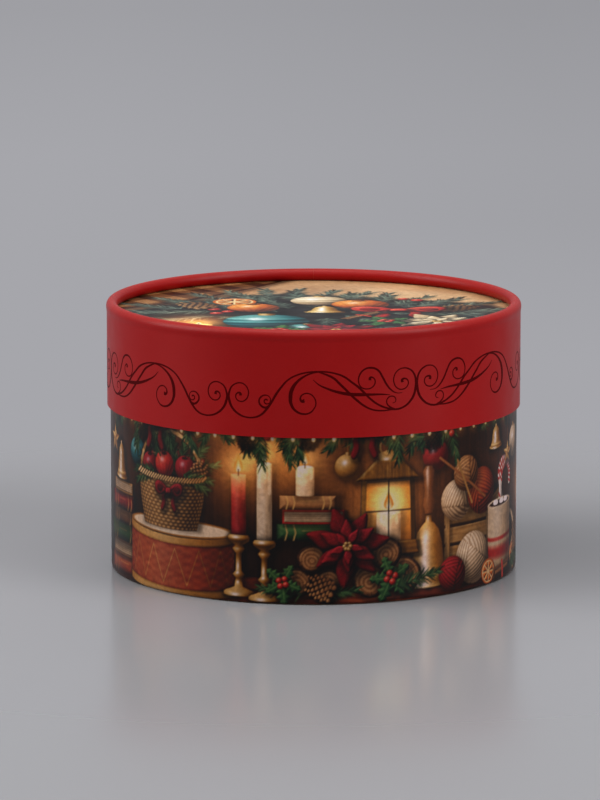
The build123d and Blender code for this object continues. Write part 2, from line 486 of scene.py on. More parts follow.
class Painting:
    """A flat sheet painted in dots."""

    def __init__(self, left, bottom, right, top):
        self.x = np.arange(left + DOT / 2, right, DOT)
        self.y = np.arange(bottom + DOT / 2, top, DOT)
        self.ink = np.zeros((len(self.y), len(self.x), 3))
        self.depth = 1.0
        self.contrast = 1.0

    def patch(self, left, bottom, right, top):
        """A rectangle of the sheet: its place, and the x and y of its dots."""
        rows = slice(*np.searchsorted(self.y, (bottom, top)))
        columns = slice(*np.searchsorted(self.x, (left, right)))
        return (rows, columns), *np.meshgrid(self.x[columns], self.y[rows])

    def near(self, x, y, wide, high):
        """The rectangle that reaches wide and high to each side of a point."""
        return self.patch(x - wide, y - high, x + wide, y + high)

    def around(self, points, margin=1.0):
        """The rectangle round some points."""
        low, high = np.min(points, 0) - margin, np.max(points, 0) + margin
        return self.patch(*low, *high)

    def lay(self, place, cover, paint):
        """Lays a colour, or one colour for each dot, over a rectangle."""
        self.ink[place] += (paint - self.ink[place]) * cover[..., None]

    def darken(self, place, cover):
        self.ink[place] *= 1 - cover[..., None]

    def glow(self, x, y, reach, code, strength):
        """Light that falls off round a point."""
        place, dots_x, dots_y = self.near(x, y, 3 * reach, 3 * reach)
        fall = np.exp(-((dots_x - x) ** 2 + (dots_y - y) ** 2) / reach**2) * strength
        self.ink[place] += colour(code) * fall[..., None] * (1 - 0.5 * self.ink[place])

    def shadow(self, points, reach, strength):
        """A soft shadow behind an outline."""
        points = np.asarray(points) + SHADOW_SHIFT
        place, x, y = self.around(points, 3 * reach)
        outside = np.maximum(outline_distance(x, y, points), 0)
        self.darken(place, strength * np.exp(-((outside / reach) ** 2)))

    def form(self, points, paint, round_off=1.5, lit=1.0, marks=None, shadow=0.45):
        """A form that swells up from its outline. marks gives a change of shade at x and y."""
        points = np.asarray(points, float)
        if shadow:
            self.shadow(points, min(round_off, 2.5) * 0.8 + 0.3, shadow)
        place, x, y = self.around(points)
        if min(x.shape) < 2:
            return
        depth = -outline_distance(x, y, points)
        rise = np.sqrt(np.clip(1 - (1 - np.clip(depth / round_off, 0, 1)) ** 2, 0, 1)) * round_off
        slope_y, slope_x = np.gradient(rise, DOT)
        steep = np.sqrt(slope_x**2 + slope_y**2 + 1)
        shade = (LIGHT[2] - slope_x * LIGHT[0] - slope_y * LIGHT[1]) / steep
        shade = 0.08 + lit * (shade - 0.05) * 0.8
        if marks is not None:
            shade = shade + marks(x, y)
        self.lay(place, covered(depth), tone(shade, paint))

    def stroke(self, points, width, paint, strength=1.0):
        """A brush stroke along points. Its width may be one number or one for each point."""
        points = np.asarray(points, float)
        radii = np.broadcast_to(np.asarray(width, float), len(points)) / 2
        place, x, y = self.around(points, radii.max() + 2 * DOT)
        nearest = np.full(x.shape, np.inf)
        for start, end, thick, next_thick in zip(points, points[1:], radii, radii[1:]):
            away, along = from_line(x, y, start, end)
            nearest = np.minimum(nearest, np.sqrt(away) - thick - (next_thick - thick) * along)
        self.lay(place, strength * covered(-nearest), paint)

    def turned(self, x, y, profile, paint, gloss=0.4, pattern=None, sag=0.13, shadow=0.5):
        """A turned form such as a vase, from (height, radius) pairs, standing at x and y.

        pattern takes the place across, from -1 to 1, and the height. It returns a change of
        shade, the share of another paint that lies over the first, and that paint.
        """
        heights, radii = np.array(profile, float).T
        widest, tall = radii.max(), heights[-1]
        if shadow:
            ends = [(x + side * r, y + h) for side in (-1, 1) for h, r in profile[::side]]
            self.shadow(ends, 1.6, shadow)
        drop = sag * widest
        place, dots_x, dots_y = self.patch(
            x - widest - 1, y - drop - 1, x + widest + 1, y + tall + 1
        )
        curve = np.sqrt(np.clip(1 - ((dots_x - x) / widest) ** 2, 0, 1))
        height = dots_y - y + drop * curve
        radius = np.interp(height, heights, radii)
        lean = -np.interp(height, heights, np.gradient(radii, heights))
        across = (dots_x - x) / np.maximum(radius, TINY)
        facing = np.sqrt(np.clip(1 - across**2, 0, 1))
        size = np.sqrt(1 + lean**2)
        normal = (np.clip(across, -1, 1) / size, lean / size, facing / size)
        shade = sum(part * towards for part, towards in zip(normal, LIGHT))
        glint = sum(part * towards for part, towards in zip(normal, GLINT))
        shade = 0.12 + 0.72 * np.clip(shade, 0, 1) + 0.16 * np.clip(across, 0, 1) ** 4
        change, over, other = pattern(across, height) if pattern else (0, 0, paint)
        colours = tone(shade + change, paint)
        colours += (tone(shade + change, other) - colours) * np.clip(over, 0, 1)[..., None]
        shine = gloss * np.clip(glint, 0, 1) ** 24
        colours = colours + (1 - colours) * shine[..., None]
        edge = np.minimum(radius - np.abs(dots_x - x), np.minimum(height, tall - height))
        self.lay(place, covered(edge), colours)

    def oval(self, x, y, wide, high, paint_colour, strength=1.0):
        place, dots_x, dots_y = self.near(x, y, wide + 1, high + 1)
        away = np.hypot((dots_x - x) / wide, (dots_y - y) / high)
        self.lay(place, strength * covered((1 - away) * min(wide, high)), paint_colour)

    def brushed(self, seed):
        """Works the whole sheet over with short soft brush marks."""
        x, y = np.meshgrid(self.x, self.y)
        drift = mottle(x, y, 9, seed) * 3
        marks = mottle(x + y * 0.6 + drift, y - x * 0.2, 1.1, seed + 1)
        marks = 0.6 * marks + 0.4 * mottle(x * 0.4 - y, x + y * 0.3 + drift, 0.7, seed + 2)
        self.ink *= (1 + 0.10 * marks)[..., None]
        warm = mottle(x, y, 14, seed + 3)[..., None] * np.array((0.012, 0.0, -0.012))
        self.ink = np.clip(self.ink + warm, 0, 1)

    def colours_at(self, x, y):
        """The sheet's colours at places between the dots, as linear light, crisply printed."""
        soft = blurred(self.ink)
        softer = blurred(blurred(blurred(soft)))
        soft = soft + 0.9 * (soft - softer)
        column = np.clip((x - self.x[0]) / DOT, 0, len(self.x) - 1.001)
        row = np.clip((y - self.y[0]) / DOT, 0, len(self.y) - 1.001)
        left, low = column.astype(int), row.astype(int)
        across, up = (column - left)[:, None], (row - low)[:, None]
        bottom = soft[low, left] * (1 - across) + soft[low, left + 1] * across
        top = soft[low + 1, left] * (1 - across) + soft[low + 1, left + 1] * across
        light = as_light(np.clip(bottom * (1 - up) + top * up, 0, 1))
        return self.depth * light**self.contrast


# Motifs of the prints. Each is painted on a sheet at x and y, and its sizes are millimetres.


def ball(sheet, x, y, radius, paint, gloss=0.6, marks=None, shadow=0.4):
    place, dots_x, dots_y = sheet.near(x, y, 2 * radius, 2 * radius)
    away = np.hypot(dots_x - x - 0.15 * radius, dots_y - y + 0.15 * radius) / radius
    sheet.darken(place, shadow * np.exp(-(np.maximum(away - 0.9, 0) * 3) ** 2))
    place, dots_x, dots_y = sheet.near(x, y, radius + 1, radius + 1)
    across, up = (dots_x - x) / radius, (dots_y - y) / radius
    away = np.hypot(across, up)
    facing = np.sqrt(np.clip(1 - away**2, 0, 1))
    shade = np.clip(across * LIGHT[0] + up * LIGHT[1] + facing * LIGHT[2], 0, 1)
    glint = np.clip(across * GLINT[0] + up * GLINT[1] + facing * GLINT[2], 0, 1)
    shade = 0.1 + 0.75 * shade + 0.25 * np.clip(away - 0.75, 0, 1) * (across - up > 0)
    if marks is not None:
        shade = shade + marks(across, up)
    colours = tone(shade, paint)
    colours = colours + (1 - colours) * (gloss * glint**40)[..., None]
    sheet.lay(place, covered((1 - away) * radius), colours)


def grain(angle, length, width, seed, strength=0.16):
    """Marks of wood grain or brushed metal that run along an angle."""
    cos, sin = polar(1, angle)

    def marks(x, y):
        along = x * cos + y * sin
        over = y * cos - x * sin
        coarse = mottle(along / length, over / width, 1, seed)
        fine = mottle(along / length * 2, over / width * 3, 1, seed + 5)
        return strength * (0.65 * coarse + 0.35 * fine)

    return marks


def quad(sheet, corners, paint, lit, marks=None, shadow=0.0):
    sheet.form(corners, paint, 0.5, lit, marks, shadow)


def sprig(sheet, x, y, length, angle, needle, seed, paint="fir", bold=1.0):
    """A fir twig that grows from x and y along an angle."""
    pick_from = np.random.default_rng(seed)
    start, twig = np.array((x, y)), polar(length, angle)
    sheet.stroke([start, start + twig], (0.9 * bold, 0.4), PAINTS["umber"][1])
    count = int(length * 2.2 / bold)
    for low, high in ((0.05, 0.35), (0.3, 0.65), (0.6, 1.0)):
        for _ in range(count):
            place = pick_from.uniform(-0.05, 1)
            side = pick_from.choice((-1, 1))
            lean = side * pick_from.uniform(25, 62) * (1.1 - 0.6 * max(place, 0))
            heading = polar(1, angle + lean)
            droop = np.array((0, -pick_from.uniform(0, 0.14)))
            reach = needle * pick_from.uniform(0.65, 1.1) * (1.05 - 0.35 * max(place, 0))
            root = start + twig * place
            bend = root + heading * reach * 0.55
            tip = bend + (heading + droop * 2) * reach * 0.45
            green = tone(pick_from.uniform(low, high), paint)
            sheet.stroke([root, bend, tip], (0.42 * bold, 0.36 * bold, 0.1), green, 0.92)


def holly_leaf(sheet, x, y, length, angle):
    """A leaf whose edge runs out in prickles, with a pale rib."""
    side = []
    for step in range(9):
        share = step / 8
        wide = 0.30 * math.sin(math.pi * min(share * 0.96 + 0.03, 1)) ** 0.7
        side.append((share, wide * (1.15 if step % 2 else 0.62)))
    edge = side + [(along, -over) for along, over in reversed(side)]
    sheet.form(placed(edge, length, x, y, angle), "leaf", 0.12 * length)
    rib = placed([(0, 0), (0.5, 0.015), (1, 0)], length, x, y, angle)
    sheet.stroke(rib, (0.5, 0.35, 0.15), tone(0.95, "leaf"), 0.7)
    for share in (0.25, 0.45, 0.65):
        for over in (0.19, -0.19):
            vein = placed([(share, 0), (share + 0.12, over)], length, x, y, angle)
            sheet.stroke(vein, (0.25, 0.1), tone(0.8, "leaf"), 0.45)


def holly(sheet, x, y, length, turn, seed):
    """Five leaves round four berries."""
    for angle in (20, 100, 172, 235, 300):
        holly_leaf(sheet, x, y, length * (0.85 + 0.05 * (angle % 4)), angle + turn)
    for step in range(4):
        place = polar(0.17 * length, 90 * step + turn + 10 * seed) + (x, y)
        ball(sheet, *place, 0.13 * length, "scarlet")


def poinsettia(sheet, x, y, radius, paint, turn):
    """A wide flower of pointed petals round a yellow middle."""
    shape = smooth_loop([(0, 0), (0.3, 0.17), (0.55, 0.24), (0.8, 0.13), (1.02, 0),
                         (0.8, -0.15), (0.55, -0.22), (0.3, -0.16)], 3)
    for count, share, lit, shift in ((7, 1.0, 0.85, 0), (6, 0.72, 1.05, 25), (5, 0.45, 1.15, 50)):
        for petal in range(count):
            angle = 360 * petal / count + turn + shift
            long = radius * share * (0.92 + 0.08 * math.cos(petal * 2.4))
            sheet.form(placed(shape, long, x, y, angle), paint, 0.13 * long, lit)
            rib = placed([(0.1, 0), (0.9, 0)], long, x, y, angle)
            sheet.stroke(rib, (0.4, 0.12), tone(0.9, paint), 0.45)
            for along in (0.3, 0.45, 0.6):
                for over in (-0.13, 0.13):
                    vein = placed([(along, 0), (along + 0.16, over)], long, x, y, angle)
                    sheet.stroke(vein, (0.22, 0.1), PAINTS[paint][0], 0.3)
    for dot in range(7):
        place = polar(0.07 * radius * (dot > 0), 60 * dot) + (x, y)
        ball(sheet, *place, 0.05 * radius, "gold", shadow=0.2)


def pine_cone(sheet, x, y, wide, tall, angle, paint):
    """A cone of overlapping scales, drawn from its tip down to its foot."""
    shape = np.array([(-1, 0.5), (0, 0.85), (1, 0.5), (0.75, -0.45), (0, -0.8), (-0.75, -0.45)])
    rows = 9
    for row in range(rows, -1, -1):
        level = row / rows
        half = 0.5 * wide * math.sqrt(max(1 - (2 * level - 0.85) ** 2 / 1.9, 0.05))
        count = max(2, int(half / (0.10 * wide)))
        for scale in range(count):
            share = (scale + 0.5 * (row % 2) + 0.25) / count * 2 - 1
            if abs(share) > 1:
                continue
            place = (half * math.sin(share * 1.3), (level - 0.5) * tall)
            size = 0.13 * wide * (1.05 - 0.4 * level) * (0.65 + 0.35 * math.cos(share * 1.3))
            points = placed(shape * size + place, 1, x, y, angle)
            sheet.form(points, paint, 0.6 * size, 0.85 - 0.35 * share, shadow=0.5)


def bow(sheet, x, y, size, paint, tails=1.0):
    """A ribbon tied in two loops, with two tails."""
    tail = smooth_loop([(0, 0), (0.25, -0.35), (0.2, -0.8), (0.42, -1.25), (0.62, -1.12),
                        (0.5, -0.7), (0.5, -0.3), (0.14, 0.02)], 3)
    loop = smooth_loop([(0, 0.02), (0.35, 0.36), (0.8, 0.5), (1.08, 0.3), (1.02, -0.08),
                        (0.7, -0.3), (0.3, -0.16)], 4)
    hollow = smooth_loop([(0.42, 0.12), (0.72, 0.28), (0.9, 0.16), (0.84, -0.04),
                          (0.62, -0.12)], 4)
    knot = smooth_loop([(-0.16, 0.14), (0.16, 0.16), (0.19, -0.12), (-0.18, -0.14)], 4)
    for side in (-size, size):
        sheet.form(placed(tail, (side, tails * size), x, y), paint, 0.12 * size, 0.85)
    for side in (-size, size):
        sheet.form(placed(loop, (side, size), x, y), paint, 0.22 * size, 1.05)
        sheet.form(placed(hollow, (side, size), x, y), paint, 0.3 * size, 0.4, shadow=0.0)
        for reach in (0.55, 0.75):
            fold = placed([(0.12, 0.05), (0.3, 0.12), (reach, 0.36)], (side, size), x, y)
            sheet.stroke(smooth_line(fold), 0.3, PAINTS[paint][0], 0.5)
    sheet.form(placed(knot, size, x, y), paint, 0.14 * size, 1.15)


def flame(sheet, x, y, tall):
    """A candle flame over its wick, with the light round it."""
    sheet.glow(x, y + 0.4 * tall, 2.2 * tall, "ff9a3c", 0.42)
    sheet.glow(x, y + 0.4 * tall, 0.9 * tall, "ffd27a", 0.55)
    outer = smooth_loop([(0, 0), (0.26, 0.2), (0.24, 0.45), (0.06, 0.85), (0, 1.0),
                         (-0.1, 0.75), (-0.25, 0.4), (-0.24, 0.16)], 4)
    for share, code in ((1.0, "f0a040"), (0.72, "f2cc78"), (0.45, "fbf0cc")):
        points = placed(outer, tall * share, x, y + 0.03 * tall)
        place, dots_x, dots_y = sheet.around(points)
        depth = -outline_distance(dots_x, dots_y, points)
        sheet.lay(place, np.clip(depth / 0.5 + 0.4, 0, 1), colour(code))
    sheet.stroke([(x, y - 0.15 * tall), (x, y + 0.18 * tall)], 0.4, colour("2a1608"), 0.8)


def candle(sheet, x, y, wide, tall, paint, flame_tall):
    """A lit candle with drips of wax, standing at x and y."""
    half = wide / 2

    def melt(across, height):
        return 0.10 * mottle(across * 3, height * 0.4, 1, int(x) % 97), 0, paint

    profile = [(0, half), (0.9 * tall, half), (tall, 0.92 * half)]
    sheet.turned(x, y, profile, paint, gloss=0.25, pattern=melt)
    sheet.oval(x, y + tall - 0.2, 0.86 * half, 0.22 * half, tone(0.95, paint))
    for share, long in ((-0.62, 0.30), (0.1, 0.18), (0.66, 0.38)):
        top = (x + share * half, y + tall - 0.4)
        end = (x + share * half, y + tall * (1 - long))
        bright = tone(0.9 - 0.3 * share, paint)
        sheet.stroke([top, end], (0.8, 1.3), bright, 0.8)
    place, _, dots_y = sheet.patch(x - half, y + 0.5 * tall, x + half, y + tall)
    warm = np.clip((dots_y - y - 0.5 * tall) / (0.5 * tall), 0, 1) ** 2 * 0.45
    sheet.lay(place, warm, colour("ffcf85"))
    flame(sheet, x, y + tall + 0.6, flame_tall)


def candlestick(sheet, x, y, wide, tall):
    """A turned brass stick that stands at x and y."""
    shape = [(0, 0.5), (0.05, 0.5), (0.09, 0.42), (0.16, 0.14), (0.3, 0.1), (0.36, 0.2),
             (0.42, 0.1), (0.7, 0.09), (0.78, 0.2), (0.84, 0.12), (0.9, 0.34), (0.96, 0.36),
             (1, 0.3)]
    sheet.turned(x, y, placed(shape, (tall, wide), 0, 0), "brass", gloss=0.9)


def bell(sheet, x, y, wide, tall):
    """A hanging or standing bell with its clapper."""
    ball(sheet, x, y - 0.02 * tall, 0.1 * wide, "iron")
    shape = [(0, 0.5), (0.05, 0.5), (0.12, 0.42), (0.3, 0.33), (0.6, 0.28), (0.78, 0.22),
             (0.88, 0.12), (0.92, 0.06), (1.0, 0.06)]

    def bands(across, height):
        return 0.16 * np.cos(height / tall * 34) * (height < 0.2 * tall), 0, "brass"

    sheet.turned(x, y, placed(shape, (tall, wide), 0, 0), "brass", 0.95, bands, sag=0.2)


def star(sheet, x, y, radius):
    """A gold star of ten facets, each second one in shade."""
    tips = [polar(radius * (0.42 if step % 2 else 1.0), 90 + 36 * step) for step in range(10)]
    sheet.shadow(np.array(tips) + (x, y), 1.4, 0.5)
    for step, (tip, next_tip) in enumerate(zip(tips, tips[1:] + tips[:1])):
        facet = np.array([(0, 0), tip, next_tip]) + (x, y)
        middle = (tip + next_tip) / 2 / radius
        lit = 0.62 + 0.35 * (middle @ LIGHT[:2]) + (0.22 if step % 2 else -0.12)
        place, dots_x, dots_y = sheet.around(facet)
        depth = -outline_distance(dots_x, dots_y, facet)
        sheet.lay(place, np.clip(depth / DOT + 0.6, 0, 1), tone(lit, "gold"))


def drum(sheet, x, y, wide, tall):
    """A toy drum with roped sides and two hoops."""
    half = wide / 2

    def sides(across, height):
        angle = np.arcsin(np.clip(across, -1, 1)) / math.pi
        zigzag = np.abs(((angle * 7) % 1) * 2 - 1)
        middle = 0.2 * tall + 0.6 * tall * zigzag
        roped = np.clip(1.3 - np.abs(height - middle) / 0.42, 0, 1)
        hoop = (height < 0.13 * tall) | (height > 0.87 * tall)
        edge = np.minimum(np.abs(height - 0.13 * tall), np.abs(height - 0.87 * tall))
        damask = 0.07 * np.sin(angle * 60) * np.sin(height * 2.2) + 0.06 * mottle(
            across * 9, height, 1.5, 31
        )
        change = np.where(hoop, 0.05, damask) - 0.25 * np.exp(-((edge / 0.5) ** 2))
        return change, np.maximum(roped, hoop), "gold"

    sheet.turned(x, y, [(0, half), (tall, half)], "brick", 0.3, sides, sag=0.14)
    skin = tone(0.82, "cream")
    sheet.oval(x, y + tall, half, 0.13 * half, PAINTS["gold"][1])
    sheet.oval(x, y + tall, 0.93 * half, 0.105 * half, skin)


def basket(sheet, x, y, wide, tall):
    """A wicker basket with a bound handle."""
    half = wide / 2

    def weave(across, height):
        angle = np.arcsin(np.clip(across, -1, 1)) * half / 1.5
        row = np.floor(height / 1.25)
        strand = np.sin(math.pi * (height / 1.25 - row))
        over = np.cos(math.pi * (angle + row))
        return 0.34 * (strand - 0.75) + 0.18 * over * strand - 0.1, 0, "straw"

    arch = [polar(1, turn) for turn in range(0, 181, 12)]
    hoop = placed(arch, (0.9 * half, 0.85 * tall), x, y + tall)
    sheet.stroke(hoop, 2.0, PAINTS["straw"][0])
    for step, (start, end) in enumerate(zip(hoop, hoop[1:])):
        bright = tone(0.55 + 0.25 * (step % 2), "straw")
        sheet.stroke([start, end], (1.1, 1.5), bright, 0.9)
    profile = [(0, 0.78 * half), (0.5 * tall, 0.93 * half), (tall, half)]
    sheet.turned(x, y, profile, "straw", 0.15, weave)


def basket_rim(sheet, x, y, wide):
    """The twisted rim in front of what a basket holds."""
    half = wide / 2
    twists = int(wide / 1.3)
    for step in range(twists):
        share = (step + 0.5) / twists * 2 - 1
        place = (x + share * half, y - 0.26 * half * math.sqrt(1 - share**2) * 0.5)
        twist = [(place[0] - 0.7, place[1] - 0.6), (place[0] + 0.7, place[1] + 0.7)]
        bright = tone(0.72 - 0.25 * share, "straw")
        sheet.stroke(twist, 1.25, PAINTS["straw"][0], 0.9)
        sheet.stroke(twist, 0.8, bright)


def log_end(sheet, x, y, radius, seed):
    """The sawn end of a log, with its rings and bark."""
    outline = [
        (x + radius * (1 + 0.04 * math.sin(3 * a + seed)) * math.cos(a),
         y + radius * (1 + 0.05 * math.cos(2 * a + seed)) * math.sin(a))
        for a in np.linspace(0, 2 * math.pi, 22)[:-1]
    ]

    def rings(dots_x, dots_y):
        away = np.hypot(dots_x - x, dots_y - y + 0.1 * radius)
        away = away + 0.3 * mottle(dots_x, dots_y, radius / 2, seed)
        cracks = np.abs(np.sin(np.arctan2(dots_y - y, dots_x - x) * 3 + seed)) < 0.06
        return 0.14 * np.sin(away * 4.6) - 0.25 * cracks * (away > 0.3 * radius)

    sheet.form(outline, "umber", 1.2, 1.2, lambda a, b: 0.25 * mottle(a, b, 0.7, seed))
    inner = (np.array(outline) - (x, y)) * (1 - 0.9 / radius) + (x, y)
    sheet.form(inner, "tan", 0.8, 0.88, rings, shadow=0.0)


def yarn(sheet, x, y, radius, paint, turn):
    """A ball of wool, wound in crossing layers."""
    cos, sin = polar(1, turn)

    def strands(across, up):
        a = across * cos + up * sin
        b = up * cos - across * sin
        facing = np.sqrt(np.clip(1 - a**2 - b**2, 0, 1))
        layers = (
            np.arctan2(b, facing + 0.3) * radius * 2.9,
            np.arctan2(a + 0.35, facing + b * 0.6 + 0.8) * radius * 3.4,
            np.arctan2(a - b, facing + 0.9) * radius * 2.8,
        )
        area = np.where(a + 0.5 * b > 0.35, 1, np.where(b - a > 0.55, 2, 0))
        chosen = np.choose(area, layers)
        edge = np.minimum(np.abs(a + 0.5 * b - 0.35), np.abs(b - a - 0.55))
        return 0.17 * np.cos(chosen * 2) - 0.05 - 0.2 * np.exp(-((edge * radius / 0.4) ** 2))

    ball(sheet, x, y, radius, paint, 0.05, strands)


def lying_book(sheet, x, y, wide, thick, paint, spine=True, bands="gold"):
    """A closed book on its side, seen from its spine or from its page edges."""
    lean = 0.12 * thick
    cover = oblong(x, y, x + wide, y + thick)
    if spine:
        cloth = grain(0, 5, 0.8, int(x * 3) % 50, 0.1)
        sheet.form(cover, paint, 0.45 * thick, 1.0, cloth)
        for share in (0.12, 0.24, 0.76, 0.88):
            place = x + share * wide
            sheet.stroke(
                [(place, y + 0.3), (place + lean, y + thick / 2), (place, y + thick - 0.3)],
                0.5, tone(0.8, bands), 0.8,
            )
        sheet.stroke([(x + 0.36 * wide, y + 0.62 * thick), (x + 0.64 * wide, y + 0.62 * thick)],
                     0.35, tone(0.75, bands), 0.6)
        return
    sheet.form(cover, paint, 0.5, 0.8)
    pages = oblong(x + 0.7, y + 0.8, x + wide - 0.6, y + thick - 0.8)
    leaves = lambda a, b: 0.13 * np.sin(b * 9) + 0.06 * mottle(a * 0.3, b, 0.5, 8)
    sheet.form(pages, "cream", 0.5, 0.72, leaves, shadow=0.0)


def crate(sheet, x, y, wide, tall, deep, paint, slats, seed):
    """A slatted wooden box, seen a little from its right, with a dark inside."""
    side, lift = deep * wide, 0.13 * wide
    front = wide - side
    quad(sheet, [(x, y + tall), (x + front, y + tall), (x + wide, y + tall + lift),
                 (x + side, y + tall + lift)], "umber", 0.5, shadow=0.5)
    gap = tall / slats
    for slat in range(slats):
        low, high = y + slat * gap, y + (slat + 0.86) * gap
        long = grain(0, 9, 0.7, seed + slat)
        quad(sheet, oblong(x, low, x + front, high), paint, 0.95 - 0.05 * slat, long)
        quad(sheet, [(x + front, low), (x + wide, low + lift), (x + wide, high + lift),
                     (x + front, high)], paint, 0.5, grain(20, 9, 0.7, seed + slat + 9))
    for left, lit in ((x + 0.5, 1.0), (x + front - 2.6, 0.9)):
        post = oblong(left, y - 0.3, left + 2.2, y + tall)
        quad(sheet, post, paint, lit, grain(90, 9, 0.6, seed + 3), 0.35)


def lantern(sheet, x, y, wide, tall):
    """A square brass lantern with a lit candle behind its glass."""
    half = wide / 2
    glass_low, glass_high = y + 0.12 * tall, y + 0.66 * tall
    body = tapered(x, y, half, glass_high, 0.92 * half)
    sheet.glow(x, (glass_low + glass_high) / 2, wide, "ff9a3c", 0.3)
    sheet.form(body, "iron", 0.8, 0.7)
    pane = tapered(x, glass_low, 0.8 * half, glass_high - 0.8, 0.74 * half)
    place, dots_x, dots_y = sheet.around(pane)
    flame_level = glass_low + 0.55 * (glass_high - glass_low)
    away = np.hypot((dots_x - x) / half, (dots_y - flame_level) / (0.45 * tall))
    lit = tone(np.clip(1.05 - 0.75 * away, 0.1, 1), "lit_glass")
    sheet.lay(place, covered(-outline_distance(dots_x, dots_y, pane)), lit)
    candle(sheet, x, glass_low, 0.42 * wide, 0.26 * tall, "cream", 0.17 * tall)
    bar_level = y + 0.39 * tall
    sheet.stroke([(x, glass_low), (x, glass_high)], 0.55, PAINTS["iron"][1], 0.75)
    bar = [(x - 0.78 * half, bar_level), (x + 0.78 * half, bar_level)]
    sheet.stroke(bar, 0.55, PAINTS["iron"][1], 0.75)
    for side in (-1, 1):
        post = [(x + side * 0.88 * half, y + 0.3), (x + side * 0.82 * half, glass_high)]
        sheet.stroke(post, 1.5, tone(0.4 - 0.15 * side, "brass"))
    base = tapered(x, y, 1.1 * half, glass_low, half)
    sheet.form(base, "brass", 0.8, 0.7, grain(0, 8, 0.6, 4))
    roof = tapered(x, glass_high, 1.12 * half, y + 0.84 * tall, 0.42 * half)
    sheet.form(roof, "brass", 1.2, 0.75, grain(90, 6, 0.6, 7))
    cap = [(0, 0.34 * half), (0.06 * tall, 0.34 * half), (0.09 * tall, 0.08 * half)]
    sheet.turned(x, y + 0.84 * tall, cap, "brass", 0.8, shadow=0)
    ring = [polar(0.3 * half, turn) for turn in np.linspace(0, 360, 14)]
    sheet.stroke(placed(ring, 1, x, y + 0.95 * tall), 0.6, tone(0.7, "brass"))


def mug(sheet, x, y, wide, tall):
    """A mug of cocoa with a handle and two red bands."""
    half = wide / 2
    handle = [
        (x + half * 0.9 + 0.34 * wide * math.sin(a), y + 0.5 * tall + 0.3 * tall * math.cos(a))
        for a in np.linspace(0.1, math.pi - 0.1, 9)
    ]
    sheet.stroke(handle, 2.4, PAINTS["cream"][0])
    sheet.stroke(handle, 1.5, tone(0.62, "cream"))

    def bands(across, height):
        level = height / tall
        wide_band = np.clip(1.4 - np.abs(level - 0.3) / 0.09, 0, 1)
        thin_band = np.clip(1.4 - np.abs(level - 0.5) / 0.03, 0, 1)
        glaze = 0.05 * mottle(across * 3, height, 1.5, 12)
        return glaze, wide_band + thin_band, "scarlet"

    profile = [(0, 0.8 * half), (0.08 * tall, 0.92 * half), (0.5 * tall, half), (tall, half)]
    sheet.turned(x, y, profile, "cream", 0.55, bands)
    sheet.oval(x, y + tall, half, 0.16 * half, tone(0.9, "cream"))
    sheet.oval(x, y + tall - 0.1, 0.88 * half, 0.12 * half, colour("3b1c10"))
    for share in (-0.4, 0.1, 0.5):
        sheet.oval(x + share * half, y + tall + 0.3, 0.2 * half, 0.1 * half, PAINTS["white"][2])


def candy_cane(sheet, x, y, tall, lean):
    """A hooked stick of sugar with a twisted stripe."""
    thick, bend = 2.2, 0.17 * tall
    line = [(0, 0), (0, 0.5 * tall), (0, tall - bend)]
    line += [(bend - bend * math.cos(a), tall - bend + bend * math.sin(a))
             for a in np.linspace(0.3, math.pi, 8)]
    line += [(2 * bend, tall - 1.5 * bend)]
    points = turn_points(smooth_line(line, 4), lean) + (x, y)
    sheet.stroke(points + (0.5, -0.5), thick + 0.6, PAINTS["umber"][0], 0.5)
    sheet.stroke(points, thick, tone(0.6, "white"))
    sheet.stroke(points + (-0.2 * thick, 0.15 * thick), 0.45 * thick, PAINTS["white"][2], 0.9)
    for start, end in zip(points[1::3], points[2::3]):
        along = end - start
        over = np.array((-along[1], along[0]))
        over = over / (np.hypot(*over) + TINY) * 0.46 * thick
        sheet.stroke([start - over, end + over], 0.4 * thick, tone(0.6, "scarlet"))


def cinnamon(sheet, x, y, long, angle):
    """Three rolled sticks tied with a ribbon."""
    for step, (shift, lit) in enumerate(((-1.5, 0.5), (1.4, 0.75), (0, 0.95))):
        half = 0.5 * long - step
        stick = oblong(-half, shift - 0.9, half, shift + 0.9)
        bark = grain(angle, 7, 0.5, step + 3, 0.2)
        sheet.form(placed(stick, 1, x, y, angle), "kraft", 0.9, lit, bark)
        end = placed([(half, shift)], 1, x, y, angle)[0]
        sheet.oval(*end, 0.5, 0.8, PAINTS["umber"][0])
    wrap = placed([(0, -2.9), (0.3, 0), (0, 2.9)], 1, x, y, angle)
    sheet.stroke(wrap, 1.5, tone(0.55, "scarlet"))
    sheet.stroke(wrap + (-0.3, 0), 0.4, tone(0.95, "scarlet"), 0.8)


def orange_slice(sheet, x, y, radius):
    """A dried slice with its rind and segments."""
    sheet.oval(x + 0.4, y - 0.4, radius + 0.3, radius + 0.3, PAINTS["umber"][0], 0.5)
    sheet.oval(x, y, radius, radius, tone(0.55, "orange"))
    sheet.oval(x, y, 0.86 * radius, 0.86 * radius, tone(0.95, "straw"))
    corners = ((0.14, 22.5), (0.78, 4), (0.78, 22.5), (0.78, 41))
    for part in range(8):
        wedge = [polar(share, 45 * part + turn) for share, turn in corners]
        sheet.form(placed(wedge, radius, x, y), "orange", 0.2 * radius, 0.95, shadow=0.0)


def apple(sheet, x, y, radius, paint):
    """An apple or an orange with its stalk."""
    streaks = lambda a, b: 0.10 * mottle(np.arctan2(a, b + 1.6) * 22, b, 1.0, 5)
    ball(sheet, x, y, radius, paint, 0.6, streaks)
    sheet.oval(x, y + 0.8 * radius, 0.3 * radius, 0.12 * radius, PAINTS[paint][0], 0.8)
    sheet.stroke([(x, y + 0.75 * radius), (x + 0.25 * radius, y + 1.25 * radius)], 0.5,
                 PAINTS["umber"][1])


